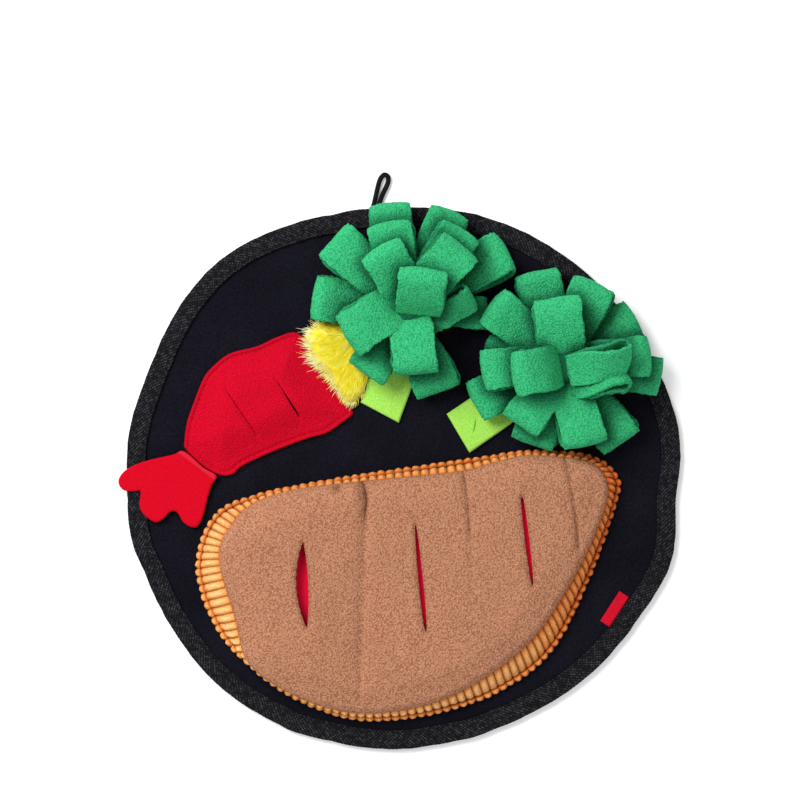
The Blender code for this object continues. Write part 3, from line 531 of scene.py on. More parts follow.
def closed_sheet(name, low, high, look, marks=None):
    """A closed sheet between two tables of points with the same rows and columns."""
    index = numbers(low)
    rim = np.concatenate([index[0, :-1], index[:-1, -1], index[-1, :0:-1], index[:0:-1, 0]])
    ahead = np.roll(rim, -1)
    walls = np.stack([rim, ahead, ahead + index.size, rim + index.size], axis=1)
    faces = np.vstack([grid_faces(index)[:, ::-1], grid_faces(index + index.size), walls])
    return add_mesh(name, np.vstack([low.reshape(-1, 3), high.reshape(-1, 3)]), faces, look, marks)


def disc_table(outline, centre, rings):
    """x and y over an outline as a square table: its rings run from the centre to the outline."""
    steps = np.arange(-rings, rings + 1)
    across, up = np.meshgrid(steps, steps)
    ring = np.maximum(np.abs(across), np.abs(up))
    safe = np.maximum(ring, 1)
    a, b = across / safe, up / safe
    eighths = np.select([(a == 1) & (b > -1), b == 1, a == -1, b == -1], [b, 2 - a, 4 - b, 6 + a])
    rim = on_loop(smooth_loop(outline, EDGE_POINTS), eighths / 8.0)
    middle = np.array(centre)
    return middle + (rim - middle) * ((ring / rings) ** RING_POWER)[..., None]


def disc_sheet(name, outline, centre, under, over, look, rings, marks=None):
    """A closed sheet over an outline, from its underside to its face.

    under and over give heights, and marks are functions that give named numbers for each point.
    """
    flat = disc_table(outline, centre, rings)
    x, y = flat.reshape(-1, 2).T
    inside = distance_to(smooth_loop(outline, NEAR_EDGE_POINTS), x, y)
    ring = np.abs(np.arange(-rings, rings + 1))
    inside[(np.maximum.outer(ring, ring) == rings).ravel()] = 0.0
    levels = [give(x, y, inside).reshape(flat.shape[:2]) for give in (under, over)]
    named = {mark: np.tile(give(x, y, inside), 2) for mark, give in (marks or {}).items()}
    return closed_sheet(name, *(np.dstack([flat, z]) for z in levels), look, named)


def keep_modifiers(made):
    """Write an object's modifiers into its mesh."""
    seen = made.evaluated_get(bpy.context.evaluated_depsgraph_get())
    mesh = bpy.data.meshes.new_from_object(seen)
    made.modifiers.clear()
    made.data = mesh


def cut_slits(made, slits, low):
    """Cut lens-shaped slits through a sheet, from a height upwards."""
    count = np.arange(SLIT_STEPS)[:, None]
    share = count / SLIT_STEPS
    ragged = 1.0 + 0.07 * np.sin(count * 2.6)
    for slit in slits:
        start, way, left = slit_frame(slit)
        out = share * way + slit_bow(share, slit) * ragged * slit["left"] * left
        back = (1.0 - share) * way - slit_bow(1.0 - share, slit) * ragged * slit["right"] * left
        ring = start + np.vstack([out, back])
        levels = [at_height(ring, z) for z in (low, low + SLIT_TOOL_TOP)]
        tool = closed_tube("slit_tool", np.array(levels))
        tool.data.shade_flat()
        cut = made.modifiers.new("slit", "BOOLEAN")
        cut.operation = "DIFFERENCE"
        cut.object = tool
        keep_modifiers(made)
        bpy.data.objects.remove(tool, do_unlink=True)


def tube_run(path, radius, sides):
    """Points of a round tube along a path, as one ring to each path point."""
    ahead = unit(np.gradient(path, axis=0))
    across = unit(np.cross(ahead, (0.0, 0.0, 1.0)))
    up = np.cross(across, ahead)
    turn = (np.arange(sides) * TURN / sides)[None, :, None]
    ring = np.cos(turn) * across[:, None] + np.sin(turn) * up[:, None]
    return path[:, None] + ring * radius[:, None, None]


def join_tubes(name, tubes, look, marks=None):
    """One mesh of many tubes that all have the same rings and sides, pointed at both ends."""
    index = numbers(tubes[0])
    starts = np.arange(len(tubes)) * index.size
    faces = (grid_faces(index, close_columns=True) + starts[:, None, None]).reshape(-1, 4)
    return add_mesh(name, np.reshape(tubes, (-1, 3)), faces, look, marks)


def stitches(name, path, look, pitch, length, radius):
    """Thread along a path on a surface, as single stitches that dip in at both their ends."""
    along = distances(path)
    share = np.linspace(0.0, 1.0, 7)
    arch = np.sin(math.pi * share)
    tubes = []
    for start in np.arange(0.2, along[-1] - length, pitch):
        line = np.column_stack([np.interp(start + share * length, along, row) for row in path.T])
        line[:, 2] += radius * (1.9 * arch - 1.1)
        tubes.append(tube_run(line, radius * np.maximum(arch**0.4, 0.02), 6))
    return join_tubes(name, tubes, look)


# ---- Materials ----


def give(look, socket, value):
    """Set a node's input to a value, or join it to another node's output."""
    if isinstance(value, bpy.types.NodeSocket):
        look.node_tree.links.new(value, socket)
    else:
        socket.default_value = (*value, 1.0) if socket.type == "RGBA" else value


def fill(look, node=None, **inputs):
    """Give values to the inputs of a node, or else of the shader."""
    node = node or look.node_tree.nodes["Principled BSDF"]
    for name, value in inputs.items():
        give(look, node.inputs[name.replace("_", " ")], value)
    return node


def add_node(look, kind, **inputs):
    return fill(look, look.node_tree.nodes.new("ShaderNode" + kind), **inputs)


def new_look(name, roughness, sheen, sheen_tint, specular):
    look = LOOKS[name] = bpy.data.materials.new(name)
    look.use_nodes = True
    fill(look, Roughness=roughness, Specular_IOR_Level=specular, Sheen_Weight=sheen,
         Sheen_Roughness=0.45, Sheen_Tint=sheen_tint)
    return look


def noise(look, size, detail=2.0, roughness=0.5, turn=0.0, stretch=None):
    """A noise texture with features of about size mm. It gives a number from 0 to 1."""
    spot = add_node(look, "TexCoord").outputs["Object"]
    if stretch:
        mapped = add_node(look, "Mapping", Vector=spot, Rotation=(0.0, 0.0, math.radians(turn)),
                          Scale=(*stretch, 1.0))
        spot = mapped.outputs["Vector"]
    made = add_node(look, "TexNoise", Vector=spot, Scale=1.0 / (size * MM), Detail=detail,
                    Roughness=roughness)
    return made.outputs["Fac"]


def pebbles(look, size):
    """Small round lumps of about size mm, as a curly pile has. It gives 0 between them."""
    made = add_node(look, "TexVoronoi")
    made.feature = "SMOOTH_F1"
    spot = add_node(look, "TexCoord").outputs["Object"]
    fill(look, made, Vector=spot, Scale=1.0 / (size * MM), Smoothness=0.6, Randomness=1.0)
    flip = add_node(look, "MapRange", Value=made.outputs["Distance"], From_Min=0.0, From_Max=0.75,
                    To_Min=1.0, To_Max=0.0)
    return flip.outputs["Result"]


def mark(look, name):
    """The number that add_mesh stored at each point."""
    made = add_node(look, "Attribute")
    made.attribute_name = name
    return made.outputs["Fac"]


def ramp(look, value, *stops):
    """Colours along a number, from (place, colour) pairs. One number stands for a grey."""
    made = add_node(look, "ValToRGB", Fac=value)
    line = made.color_ramp.elements
    while len(line) < len(stops):
        line.new(0.5)
    for element, (spot, colour) in zip(line, stops):
        element.position = spot
        element.color = (*np.broadcast_to(colour, 3), 1.0)
    return made.outputs["Color"]


def mix(look, share, first, second, blend="MIX"):
    """Two colours mixed by a number from 0 to 1. Each may be a socket or a value."""
    made = add_node(look, "Mix")
    made.data_type = "RGBA"
    made.blend_type = blend
    for number, value in ((0, share), (6, first), (7, second)):
        give(look, made.inputs[number], value)
    return made.outputs[2]


def paint(look, colour):
    fill(look, Base_Color=colour)


def painted(look):
    """The colour that the shader has so far."""
    return look.node_tree.nodes["Principled BSDF"].inputs["Base Color"].links[0].from_socket


def tint(look, value, *stops):
    """Multiply the colour so far by the colours along a number."""
    paint(look, mix(look, 1.0, painted(look), ramp(look, value, *stops), "MULTIPLY"))


def relief(look, *layers):
    """Bump from (number, height in mm, strength) layers, one on the other."""
    below = {}
    for value, height, strength in layers:
        bump = add_node(look, "Bump", Height=value, Distance=height * MM, Strength=strength, **below)
        below = {"Normal": bump.outputs["Normal"]}
    fill(look, **below)


def woven_look(name, surface, weave, low, high, height, strength):
    """A cloth or thread in two shades, laid out by one noise that also raises it."""
    look = new_look(name, *surface)
    yarn = noise(look, *weave)
    paint(look, ramp(look, yarn, low, high))
    relief(look, (yarn, height, strength))


def fleece_look(name, dark, middle, light, curl, contrast=1.0):
    """Anti-pill fleece: a short curly pile in lumps of about curl mm."""
    look = new_look(name, 0.95, 0.04, light, 0.04)
    lumps = pebbles(look, curl)
    speckle = noise(look, curl * 0.55, 2.0, 0.6)
    fine = noise(look, curl * 0.3, 2.0, 0.7)
    tone = mix(look, 0.45, lumps, mix(look, 0.5, speckle, fine))
    reach = 0.24 / contrast
    paint(look, ramp(look, tone, (0.5 - reach, dark), (0.5, middle), (0.5 + reach, light)))
    tint(look, noise(look, 26.0), (0.3, 0.93), (0.7, 1.0))
    relief(look, (lumps, 0.6, 0.75), (speckle, 0.4, 0.7))
    return look


def felt_look(name, dark, light):
    """Pressed felt: fine fibres in every direction, nearly one colour."""
    look = new_look(name, 0.95, 0.03, light, 0.04)
    fibre = noise(look, 0.5, 3.0, 0.7, 25.0, (1.0, 0.35))
    second = noise(look, 0.5, 3.0, 0.7, -50.0, (0.35, 1.0))
    paint(look, ramp(look, mix(look, 0.5, fibre, second), (0.38, dark), (0.62, light)))
    relief(look, (fibre, 0.2, 0.5), (second, 0.2, 0.5))
    return look


def make_looks():
    velvet = new_look("velvet", 0.9, 0.02, (0.45, 0.48, 0.65), 0.04)
    clouds = noise(velvet, 38.0, 4.0, 0.6)
    nap_and_painted_light = noise(velvet, 1.3, 3.0, 0.7)
    paint(velvet, ramp(velvet, clouds, (0.3, (0.0042, 0.004, 0.0072)),
                       (0.75, (0.0078, 0.0075, 0.0125))))
    tint(velvet, nap_and_painted_light, (0.35, 0.6), (0.75, (1.5, 1.5, 1.6)))
    relief(velvet, (noise(velvet, 17.0), 1.2, 0.35), (nap_and_painted_light, 0.2, 0.35))

    webbing = new_look("webbing", 0.75, 0.02, (0.8, 0.8, 0.85), 0.08)
    # Grey specks on the weave's raised cells are painted glints.
    glint_noise = noise(webbing, 1.7, 3.0, 0.75)
    painted_glints = ramp(webbing, glint_noise, (0.45, (0.006, 0.006, 0.008)), (0.68, (0.14, 0.14, 0.16)))
    paint(webbing, mix(webbing, mark(webbing, "weave"), (0.0032, 0.0032, 0.0045), painted_glints))
    relief(webbing, (noise(webbing, 0.35, 2.0, 0.6), 0.1, 0.6))

    corduroy = new_look("corduroy", 0.95, 0.05, (1.0, 0.75, 0.45), 0.04)
    pile = noise(corduroy, 0.8, 3.0, 0.7)
    # The rib mark paints shade in the grooves and a highlight on the crests.
    paint(corduroy, ramp(corduroy, mark(corduroy, "rib"), (0.0, (0.20, 0.052, 0.008)),
                         (0.45, (0.66, 0.32, 0.10)), (1.0, (0.82, 0.50, 0.225))))
    tint(corduroy, pile, (0.32, (0.72, 0.58, 0.44)), (0.66, 1.15))
    # The tone mark paints shade near the mat and in the flange's groove, and a highlight on the bead
    # and puffed wall.
    tint(corduroy, mark(corduroy, "tone"), (0.0, (0.50, 0.30, 0.18)), (0.5, (0.96, 0.66, 0.42)),
         (1.0, 1.0))
    # Painted light by which way the wall faces: lighter on the left and lower sides, darker on the
    # right.
    tint(corduroy, mark(corduroy, "nap_and_painted_light"), (0.0, (0.88, 0.44, 0.28)), (0.4, (0.93, 0.72, 0.58)),
         (0.8, (1.04, 1.02, 1.0)), (1.0, 1.16))
    relief(corduroy, (pile, 0.3, 0.6), (noise(corduroy, 0.3), 0.1, 0.5))

    tan = fleece_look("tan", (0.31, 0.120, 0.064), (0.485, 0.222, 0.125), (0.66, 0.360, 0.232),
                      0.92, 0.9)
    # Painted shade in the seams' creases, at the pucker and at the slits' lips.
    tint(tan, mark(tan, "crease"), (0.0, 1.0), (1.0, (0.22, 0.18, 0.17)))
    fleece_look("red", (0.51, 0.002, 0.015), (0.60, 0.003, 0.020), (0.68, 0.006, 0.028), 0.8)
    green = fleece_look("green", (0.020, 0.29, 0.110), (0.042, 0.47, 0.185), (0.085, 0.60, 0.27),
                        0.95, 0.8)
    # Painted shade where strips lie under others, on their lower layers and over the whole core.
    tint(green, mark(green, "deep"), (0.0, 1.0), (1.0, (0.22, 0.26, 0.28)))

    felt = felt_look("red_felt", (0.50, 0.0015, 0.011), (0.59, 0.003, 0.017))
    # A painted highlight on the raised band beside the tail's seam.
    paint(felt, mix(felt, mark(felt, "band"), painted(felt), (0.63, 0.014, 0.034)))
    lime = felt_look("lime", (0.24, 0.58, 0.052), (0.41, 0.74, 0.115))
    specks = ramp(lime, noise(lime, 0.7, 2.0, 0.6), (0.62, 0.0), (0.74, 1.0))
    paint(lime, mix(lime, specks, painted(lime), (0.66, 0.88, 0.40)))

    yellow = new_look("yellow", 0.8, 0.05, (1.0, 0.95, 0.6), 0.06)
    own = mark(yellow, "own")
    # along carries a painted highlight on the hanging fringe and the brightest clumps; own is a
    # random tone for each clump.
    highlight_colour = mix(yellow, own, (0.98, 0.88, 0.16), (1.0, 0.97, 0.62))
    roots = mix(yellow, own, (0.95, 0.78, 0.022), (1.0, 0.95, 0.075))
    paint(yellow, mix(yellow, mark(yellow, "along"), roots, highlight_colour))

    woven_look("cord", (0.8, 0.02, (0.6, 0.6, 0.7), 0.06), (0.9, 3.0, 0.7, 35.0, (1.0, 0.4)),
               (0.4, (0.003, 0.003, 0.004)), (0.7, (0.018, 0.018, 0.021)), 0.35, 0.8)
    woven_look("crimson", (0.9, 0.02, (0.9, 0.1, 0.2), 0.04), (0.8, 2.0, 0.6),
               (0.3, (0.86, 0.005, 0.036)), (0.7, (0.98, 0.010, 0.062)), 0.15, 0.5)
    woven_look("tag", (0.7, 0.03, (1.0, 0.3, 0.3), 0.06), (0.45, 2.0, 0.6, -57.0, (0.25, 1.0)),
               (0.35, (0.44, 0.002, 0.014)), (0.65, (0.57, 0.005, 0.024)), 0.1, 0.6)
    for name, colour in (
        ("black_thread", (0.012, 0.012, 0.014)),
        ("red_thread", (0.44, 0.002, 0.012)),
        ("orange_thread", (0.36, 0.10, 0.016)),
        ("green_thread", (0.27, 0.82, 0.10)),
    ):
        deep = tuple(part * 0.55 for part in colour)
        woven_look(name, (0.55, 0.03, colour, 0.1), (0.3, 2.0, 0.6), (0.35, deep), (0.65, colour),
                   0.08, 0.6)


# ---- The mat ----


def rim_rings(section):
    """Rings round the rim, from a section of insets and heights."""
    angle = np.arange(2 * WEAVE_CELLS) * TURN / (2 * WEAVE_CELLS)
    way = at_height(np.column_stack([np.cos(angle), np.sin(angle)]), 0.0)
    reach = mat_radius(angle)
    edge = way * reach[:, None]
    reach = reach + 0.7 * (grain(edge, 13.0) - 0.5) + 0.35 * (grain(edge, 4.0) - 0.5)
    return np.array([way * (reach - inset)[:, None] + (0.0, 0.0, z) for inset, z in section])


def mat_outline():
    """The mat's own edge, inside the folded webbing."""
    angle = np.arange(48) * TURN / 48
    reach = mat_radius(angle) - MAT_INSET
    return np.column_stack([reach * np.cos(angle), reach * np.sin(angle)])


def make_mat():
    """The velvet face with its backing, drawn in a little where the webbing is sewn down."""
    step_in = BINDING_LEG + 2 * GAP - MAT_INSET

    def under(x, y, inside):
        return 1.5 * (1.0 - smoothstep((inside - step_in) / 1.2))

    def over(x, y, inside):
        pucker = 0.5 + 0.5 * np.sin(np.arctan2(y, x) * 96 + 3.0 * flat_grain(x, y, 30.0))
        soft = flat_grain(x, y, 34.0) * 0.6 + flat_grain(x, y, 13.0) * 0.25
        return MAT_TOP - 0.02 - 0.35 * bell(inside - step_in - 1.0, 5.0) * pucker - 0.3 * soft

    return disc_sheet("mat_face", mat_outline(), (0.0, 0.0), under, over, "velvet", rings=52)


def make_binding():
    """Webbing folded round the rim, with its weave raised and a row of stitching."""
    section = [(BINDING_LEG, 0.0), (5.0, 0.0), (0.5, 0.0), (0.12, 0.35)]
    section += [(0.0, z) for z in np.linspace(0.9, BINDING_TOP - 0.9, 6)]
    section += [(0.16, BINDING_TOP - 0.35)]
    outer = len(section)
    section += [(inset, BINDING_TOP) for inset in np.linspace(0.6, BINDING_LEG, BINDING_TOP_ROWS)]
    wall, top = slice(3, outer), slice(outer, len(section))
    section += [(BINDING_LEG + 0.15, BINDING_TOP - 0.5), (BINDING_LEG, LAY_Z), (5.0, LAY_Z)]
    section += [(WEBBING, LAY_Z), (WEBBING, WEBBING), (BINDING_LEG, WEBBING)]
    rings = rim_rings(section)
    row, column = np.indices(rings.shape[:2])
    cell = (column // 2 + row // 2) % 2
    weave = 1.0 * ((row % 2 == 1) & (column % 2 == 1) & (cell == 0))
    weave += 0.55 * ((row % 2 == 0) & (column % 2 == 0) & (cell == 1))
    weave[: wall.start] = 0.0
    weave[top.stop :] = 0.0
    sag = grain(rings.reshape(-1, 3) * (1.0, 1.0, 0.0), 19.0).reshape(weave.shape)
    rings[top, :, 2] += 0.16 * weave[top] - 0.35 * sag[top]
    rings[wall, :, :2] += unit(rings[wall, :, :2]) * (0.14 * weave[wall])[..., None]
    stitch_row = outer + BINDING_STITCH_ROW
    sewn = np.arange(outer, len(section))
    rings[outer:, :, 2] -= 0.35 * np.exp(-((sewn - stitch_row) ** 2) / 1.5)[:, None]
    made = add_grid("binding", rings, "webbing", {"weave": weave.ravel()}, close_rows=True,
                    close_columns=True)
    path = closed(rings[stitch_row] + (0.0, 0.0, 0.12))
    thread = stitches("binding_stitches", path, "black_thread", pitch=3.3, length=2.5, radius=0.24)
    return made, thread


def make_cord():
    path = smooth_path(CORD_ROUTE, 6)
    line = bpy.data.curves.new("cord_loop", "CURVE")
    line.dimensions = "3D"
    line.bevel_depth = CORD_RADIUS * MM
    line.bevel_resolution = 5
    line.use_fill_caps = True
    spline = line.splines.new("POLY")
    spline.points.add(len(path) - 1)
    for point, (x, y) in zip(spline.points, path):
        point.co = (x * MM, y * MM, CORD_Z * MM, 1.0)
    spline.use_smooth = True
    line.materials.append(LOOKS["cord"])
    return place("cord_loop", line), path


def make_tag():
    """A plain ribbon folded in two, its ends under the binding's edge and its fold inwards."""
    ply, half = TAG["ply"], TAG["width"] / 2
    middle, bend = LAY_Z + TAG_HEIGHT / 2, (TAG_HEIGHT - ply) / 2
    turn = np.linspace(-math.pi / 2, math.pi / 2, 9)
    leg = np.linspace(-half, half - TAG_BEND, 8)[:-1]
    across = np.concatenate([leg, half - TAG_BEND + np.cos(turn) * 0.4, leg[::-1]])
    flat = np.ones(len(leg))
    level = middle + bend * np.concatenate([-flat, np.sin(turn), flat])
    line = np.column_stack([across, level])
    ahead = unit(np.gradient(line, axis=0))
    side = np.column_stack([-ahead[:, 1], ahead[:, 0]]) * ply / 2
    stations = np.linspace(-TAG["length"] / 2, TAG["length"] / 2, 40)
    angle = math.radians(TAG["turn"])
    sheets = []
    for edge in (line - side, line + side):
        along, aside = np.meshgrid(stations, edge[:, 0], indexing="ij")
        x = TAG["x"] + along * math.cos(angle) - aside * math.sin(angle)
        y = TAG["y"] + along * math.sin(angle) + aside * math.cos(angle)
        sheets.append(np.dstack([x, y, np.broadcast_to(edge[:, 1], x.shape)]))
    return closed_sheet("tag_ribbon", *sheets, "tag")


# ---- The steak ----


def wall_ends(foot):
    """For each point of the corduroy's foot, where the rib that starts there meets the rim."""
    fine = smooth_loop(STEAK_RIM, 2400)
    apart = ((foot[:, None] - fine[None]) ** 2).sum(axis=2)
    turn = np.unwrap(apart.argmin(axis=1) * TURN / len(fine))
    trend = turn[0] + np.arange(len(foot)) * TURN / len(foot)
    window = np.ones(6 * RIB_STATIONS) / (6 * RIB_STATIONS)
    drift = np.convolve(np.tile(turn - trend, 3), window, mode="same")[len(foot) : -len(foot)]
    arms = foot - STEAK_CENTRE
    lean = np.interp(np.degrees(np.arctan2(arms[:, 1], arms[:, 0])), *np.transpose(RIB_LEAN))
    return on_loop(fine, (trend + drift) / TURN - lean / distances(closed(fine))[-1])


def make_pad():
    """The corduroy gusset: ribs that run up from a sewn flange over a puffed wall."""
    stations = np.arange(RIBS * RIB_STATIONS) / RIB_STATIONS + 0.5
    foot = smooth_loop(STEAK_FOOT, len(stations))
    rim = wall_ends(foot)
    inward = way_in(foot)
    ridge = 1.0 - np.abs(2.0 * (stations % 1.0) - 1.0) ** 2.2
    number = np.floor(stations) % RIBS
    uneven = flat_grain(number * 3.7, number * 1.9, 1.0) - 0.5
    # Painted light by which way the wall faces: lighter on the left and lower sides, darker on the
    # right.
    nap_and_painted_light = 0.45 + inward @ (0.5, 0.3) + 0.25 * np.abs(inward[:, 1])
    rings, ribs, tones = [], [], []

    def add_row(points, z, ribbed, tone, upward):
        lift = (ridge - 0.62) * RIB_DEPTH * ribbed
        out = -inward * (lift * (1.0 - 0.45 * upward))[:, None]
        placed = at_height(points + out, z + np.maximum(lift, -0.5) * 0.65 * upward)
        nub = 0.5 * upward * (grain(placed, 1.5) - 0.5) + 0.25 * upward * (grain(placed, 0.8) - 0.5)
        rings.append(placed + at_height(-inward, 1.0) * nub[:, None])
        # This rib mark carries painted shade in the grooves and a painted highlight on the crests.
        ribs.append(ridge * min(1.0, ribbed + 0.25))
        tones.append(np.full(len(stations), tone))

    for inset, z, ribbed, tone in FLANGE:
        inset = inset + 0.35 * uneven * ribbed
        add_row(foot + inward * inset[:, None], z, ribbed, tone, float(z > LAY_Z))
    start_inset, start_z = FLANGE[-1][:2]
    start = foot + inward * start_inset
    for share in np.arange(1, WALL_ROWS + 1) / WALL_ROWS:
        puff = math.sin(math.pi * share)
        bulge = puff * (WALL_BULGE + 0.4 * uneven)
        points = start + (rim - start) * share - inward * bulge[:, None]
        z = start_z + (PAD_TOP - start_z) * share**0.85 + 0.8 * puff * (1.0 + 0.6 * uneven)
        # Painted highlight on the wall's puffed middle, and painted shade at its top and hem.
        tone = 0.5 + 0.5 * puff**0.7 if share < 1 else 0.45
        add_row(points, np.minimum(z, PAD_TOP + 0.4), 0.6 + 1.2 * puff, tone, float(share < 1))
    rings.append(at_height(rim + unit(STEAK_CENTRE - rim) * PAD_HEM, PAD_TOP - 0.05))
    ribs.append(np.full(len(stations), 0.5))
    tones.append(np.full(len(stations), 0.4))
    marks = {"rib": np.ravel(ribs), "tone": np.ravel(tones),
             "nap_and_painted_light": np.tile(np.clip(nap_and_painted_light, 0.0, 1.0), len(rings))}
    made = closed_tube("corduroy_gusset", np.array(rings), "corduroy", marks)
    path = closed(at_height(foot + inward * FLANGE_STITCH["inset"], FLANGE_STITCH["z"]))[::4]
    thread = stitches("gusset_stitches", path, "orange_thread", pitch=3.4, length=2.6, radius=0.2)
    return made, thread


def lining_outline():
    outline = smooth_loop(STEAK_RIM, 64)
    return outline + unit(STEAK_CENTRE - outline) * LINING_INSET


def lining_under(x, y, inside):
    """Height of the lining, which the filling pushes up below the two narrow slits."""
    return LINING_Z + LINING_PUSH * near_slits(STEAK_SLITS[1:], x, y, 5.0)


def lining_over(x, y, inside):
    soft = flat_grain(x, y, 9.0) * 0.35
    return lining_under(x, y, inside) + LINING_THICKNESS * lip(inside, 1.0) - soft


def make_lining():
    return disc_sheet("lining_cloth", lining_outline(), STEAK_CENTRE, lining_under, lining_over,
                      "crimson", rings=26)


def near_seams(x, y):
    """For each seam: the way off it, how strongly it is drawn down there, and how tightly."""
    for seam in SEAMS:
        route = smooth_path(seam["route"], 12)
        off = x - np.interp(-y, -route[:, 1], route[:, 0])
        along = (route[0, 1] - y) / (route[0, 1] - route[-1, 1])
        fade = 1.0 - smoothstep((along - 0.75) / 0.35)
        yield seam, off, fade, 1.0 - smoothstep((along - seam["sharp"]) / 0.12)


def steak_height(x, y, inside, face=False):
    """Height of the fleece's underside, or of the same surface as its seams show on the face."""
    turned = LINING_Z + (POCKET_FLOOR - LINING_Z) * smoothstep(inside / RIM_TURN)
    lift = np.interp(x, *np.transpose(CROWN)) * smoothstep(inside / CROWN_RISE)
    for seam, off, fade, _ in near_seams(x, y):
        share = seam["drawn"] if face else 1.0
        lift -= share * seam["depth"] * fade * bell(off, seam["half_width"])
    return turned + np.maximum(lift, 0.0)


def painted_crease_shade(x, y, inside):
    """Painted shade, from 0 to 1, in the seams' creases, at the pucker and at the slits' lips."""
    away = np.hypot(x - PUCKER["x"], y - PUCKER["y"])
    deep = [0.62 * bell(away, 2.3), 0.45 * near_slits(STEAK_SLITS, x, y, 1.0)]
    for seam, off, fade, tight in near_seams(x, y):
        dark = fade * (0.12 + seam["dark"] * 0.88 * tight)
        deep.append(dark * bell(off, 0.6 + 0.5 * seam["drawn"]))
        deep.append(0.5 * seam["drawn"] * fade * tight * bell(off + 1.6, 1.8))
    return np.max(deep, axis=0)


def steak_over(x, y, inside):
    """Height of the fleece's face, with its curly pile, the seams' creases and the slits' lips."""
    top = steak_height(x, y, inside, face=True) + FLEECE * lip(inside, 1.3, 0.5)
    for _, off, fade, tight in near_seams(x, y):
        ruffle = np.sin(y * TURN / 9.0 + 1.0) * np.sin(off * 0.55)
        top -= fade * (0.25 + 0.55 * tight) * bell(off, 1.2)
        top -= fade * 0.35 * tight * bell(off, 6.0) * ruffle
    off_x, off_y = x - PUCKER["x"], y - PUCKER["y"]
    top -= PUCKER["depth"] * bell(np.hypot(off_x, off_y), 2.6)
    top += 1.5 * bell(np.hypot(off_x - 9.0, (off_y + 1.0) * 0.8), 4.2)
    top -= 0.8 * near_slits(STEAK_SLITS, x, y, 1.7)
    pile = 0.3 * (flat_grain(x, y, 1.9) - 0.5) + 0.5 * (flat_grain(x, y, 14.0, 3.1) - 0.5)
    return top + pile * smoothstep(inside / 3.0)


def make_steak_top():
    made = disc_sheet("steak_fleece", STEAK_RIM, STEAK_CENTRE, steak_height, steak_over, "tan",
                      rings=104, marks={"crease": painted_crease_shade})
    cut_slits(made, STEAK_SLITS, PAD_TOP)
    return made


# ---- The shrimp ----


def body_under(x, y, inside):
    loose_edge = 0.5 * (1.0 - smoothstep(inside / STITCH_INSET))
    return LAY_Z + loose_edge + BODY_CROWN * smoothstep((inside - STITCH_INSET) / 20.0)


def body_over(x, y, inside):
    """The red fleece's face: a rounded cut edge, a stitched-down line and slit lips."""
    top = body_under(x, y, inside) + RED_FLEECE * lip(inside, 1.3)
    top -= 0.85 * bell(inside - STITCH_INSET, 0.8) + 0.55 * near_slits(SHRIMP_SLITS, x, y, 1.3)
    top += 0.35 * bell(inside - STITCH_INSET, 5.0) * (flat_grain(x, y, 6.0) - 0.5)
    pile = 0.16 * (flat_grain(x, y, 1.5) - 0.5) + 0.7 * (flat_grain(x, y, 17.0, 1.7) - 0.5)
    return top + pile * smoothstep(inside / 3.0)


def make_body():
    made = disc_sheet("shrimp_fleece", SHRIMP_BODY, SHRIMP_CENTRE, body_under, body_over, "red",
                      rings=48)
    cut_slits(made, SHRIMP_SLITS, MAT_TOP + 0.1)
    fine = smooth_loop(SHRIMP_BODY, 520)
    line = fine + way_in(fine) * STITCH_INSET
    path = closed(at_height(line, body_over(*line.T, np.full(len(line), STITCH_INSET)) + 0.12))
    thread = stitches("shrimp_stitches", path, "red_thread", pitch=2.7, length=2.2, radius=0.13)
    return made, thread


def tail_off(x, y):
    """Distance from the tail's seam, which runs from one edge to the other."""
    start = np.array(TAIL[0])
    way = unit(np.array(TAIL[-2]) - start)
    return np.abs((x - start[0]) * way[1] - (y - start[1]) * way[0])


def tail_under(x, y, inside):
    return TAIL_Z + TAIL_SEAM_RISE * (1.0 - smoothstep((tail_off(x, y) - 1.0) / TAIL_SEAM_WIDTH))


def tail_over(x, y, inside):
    top = tail_under(x, y, inside) + FELT * lip(inside, 1.0, 0.5)
    top -= 0.55 * bell(tail_off(x, y) - 3.3, 0.6)
    return top + 0.5 * (flat_grain(x, y, 15.0, 2.3) - 0.5) * smoothstep(inside / 4.0)


def tail_painted_highlight(x, y, inside):
    """The raised band beside the tail's seam, with a painted highlight where the felt catches the
    light.
    """
    return smoothstep((3.1 - tail_off(x, y)) / 0.8)


def make_tail():
    return disc_sheet("tail_felt", TAIL, TAIL_CENTRE, tail_under, tail_over, "red_felt", rings=34,
                      marks={"band": tail_painted_highlight})


def fur_height(x, y, inside):
    """Height of the plush's soft mound by how far a point is inside its edge."""
    near = 1.0 - np.clip(inside / 4.5, 0.0, 1.0)
    soft = 0.8 * (flat_grain(x, y, 8.0) - 0.5) * smoothstep(inside / 4.0)
    return LAY_Z + RED_FLEECE - 0.3 + FUR_LOFT * np.sqrt(1.0 - near**2) + soft


def fur_flow(x, y):
    """The way a hair lies at a spot, in radians, and its length."""
    at_x, at_y, angle, length = np.transpose(FUR_COMB)
    share = 1.0 / ((x - at_x) ** 2 + (y - at_y) ** 2 + 4.0)
    share /= share.sum()
    turn = np.radians(angle)
    return math.atan2(share @ np.sin(turn), share @ np.cos(turn)), share @ length


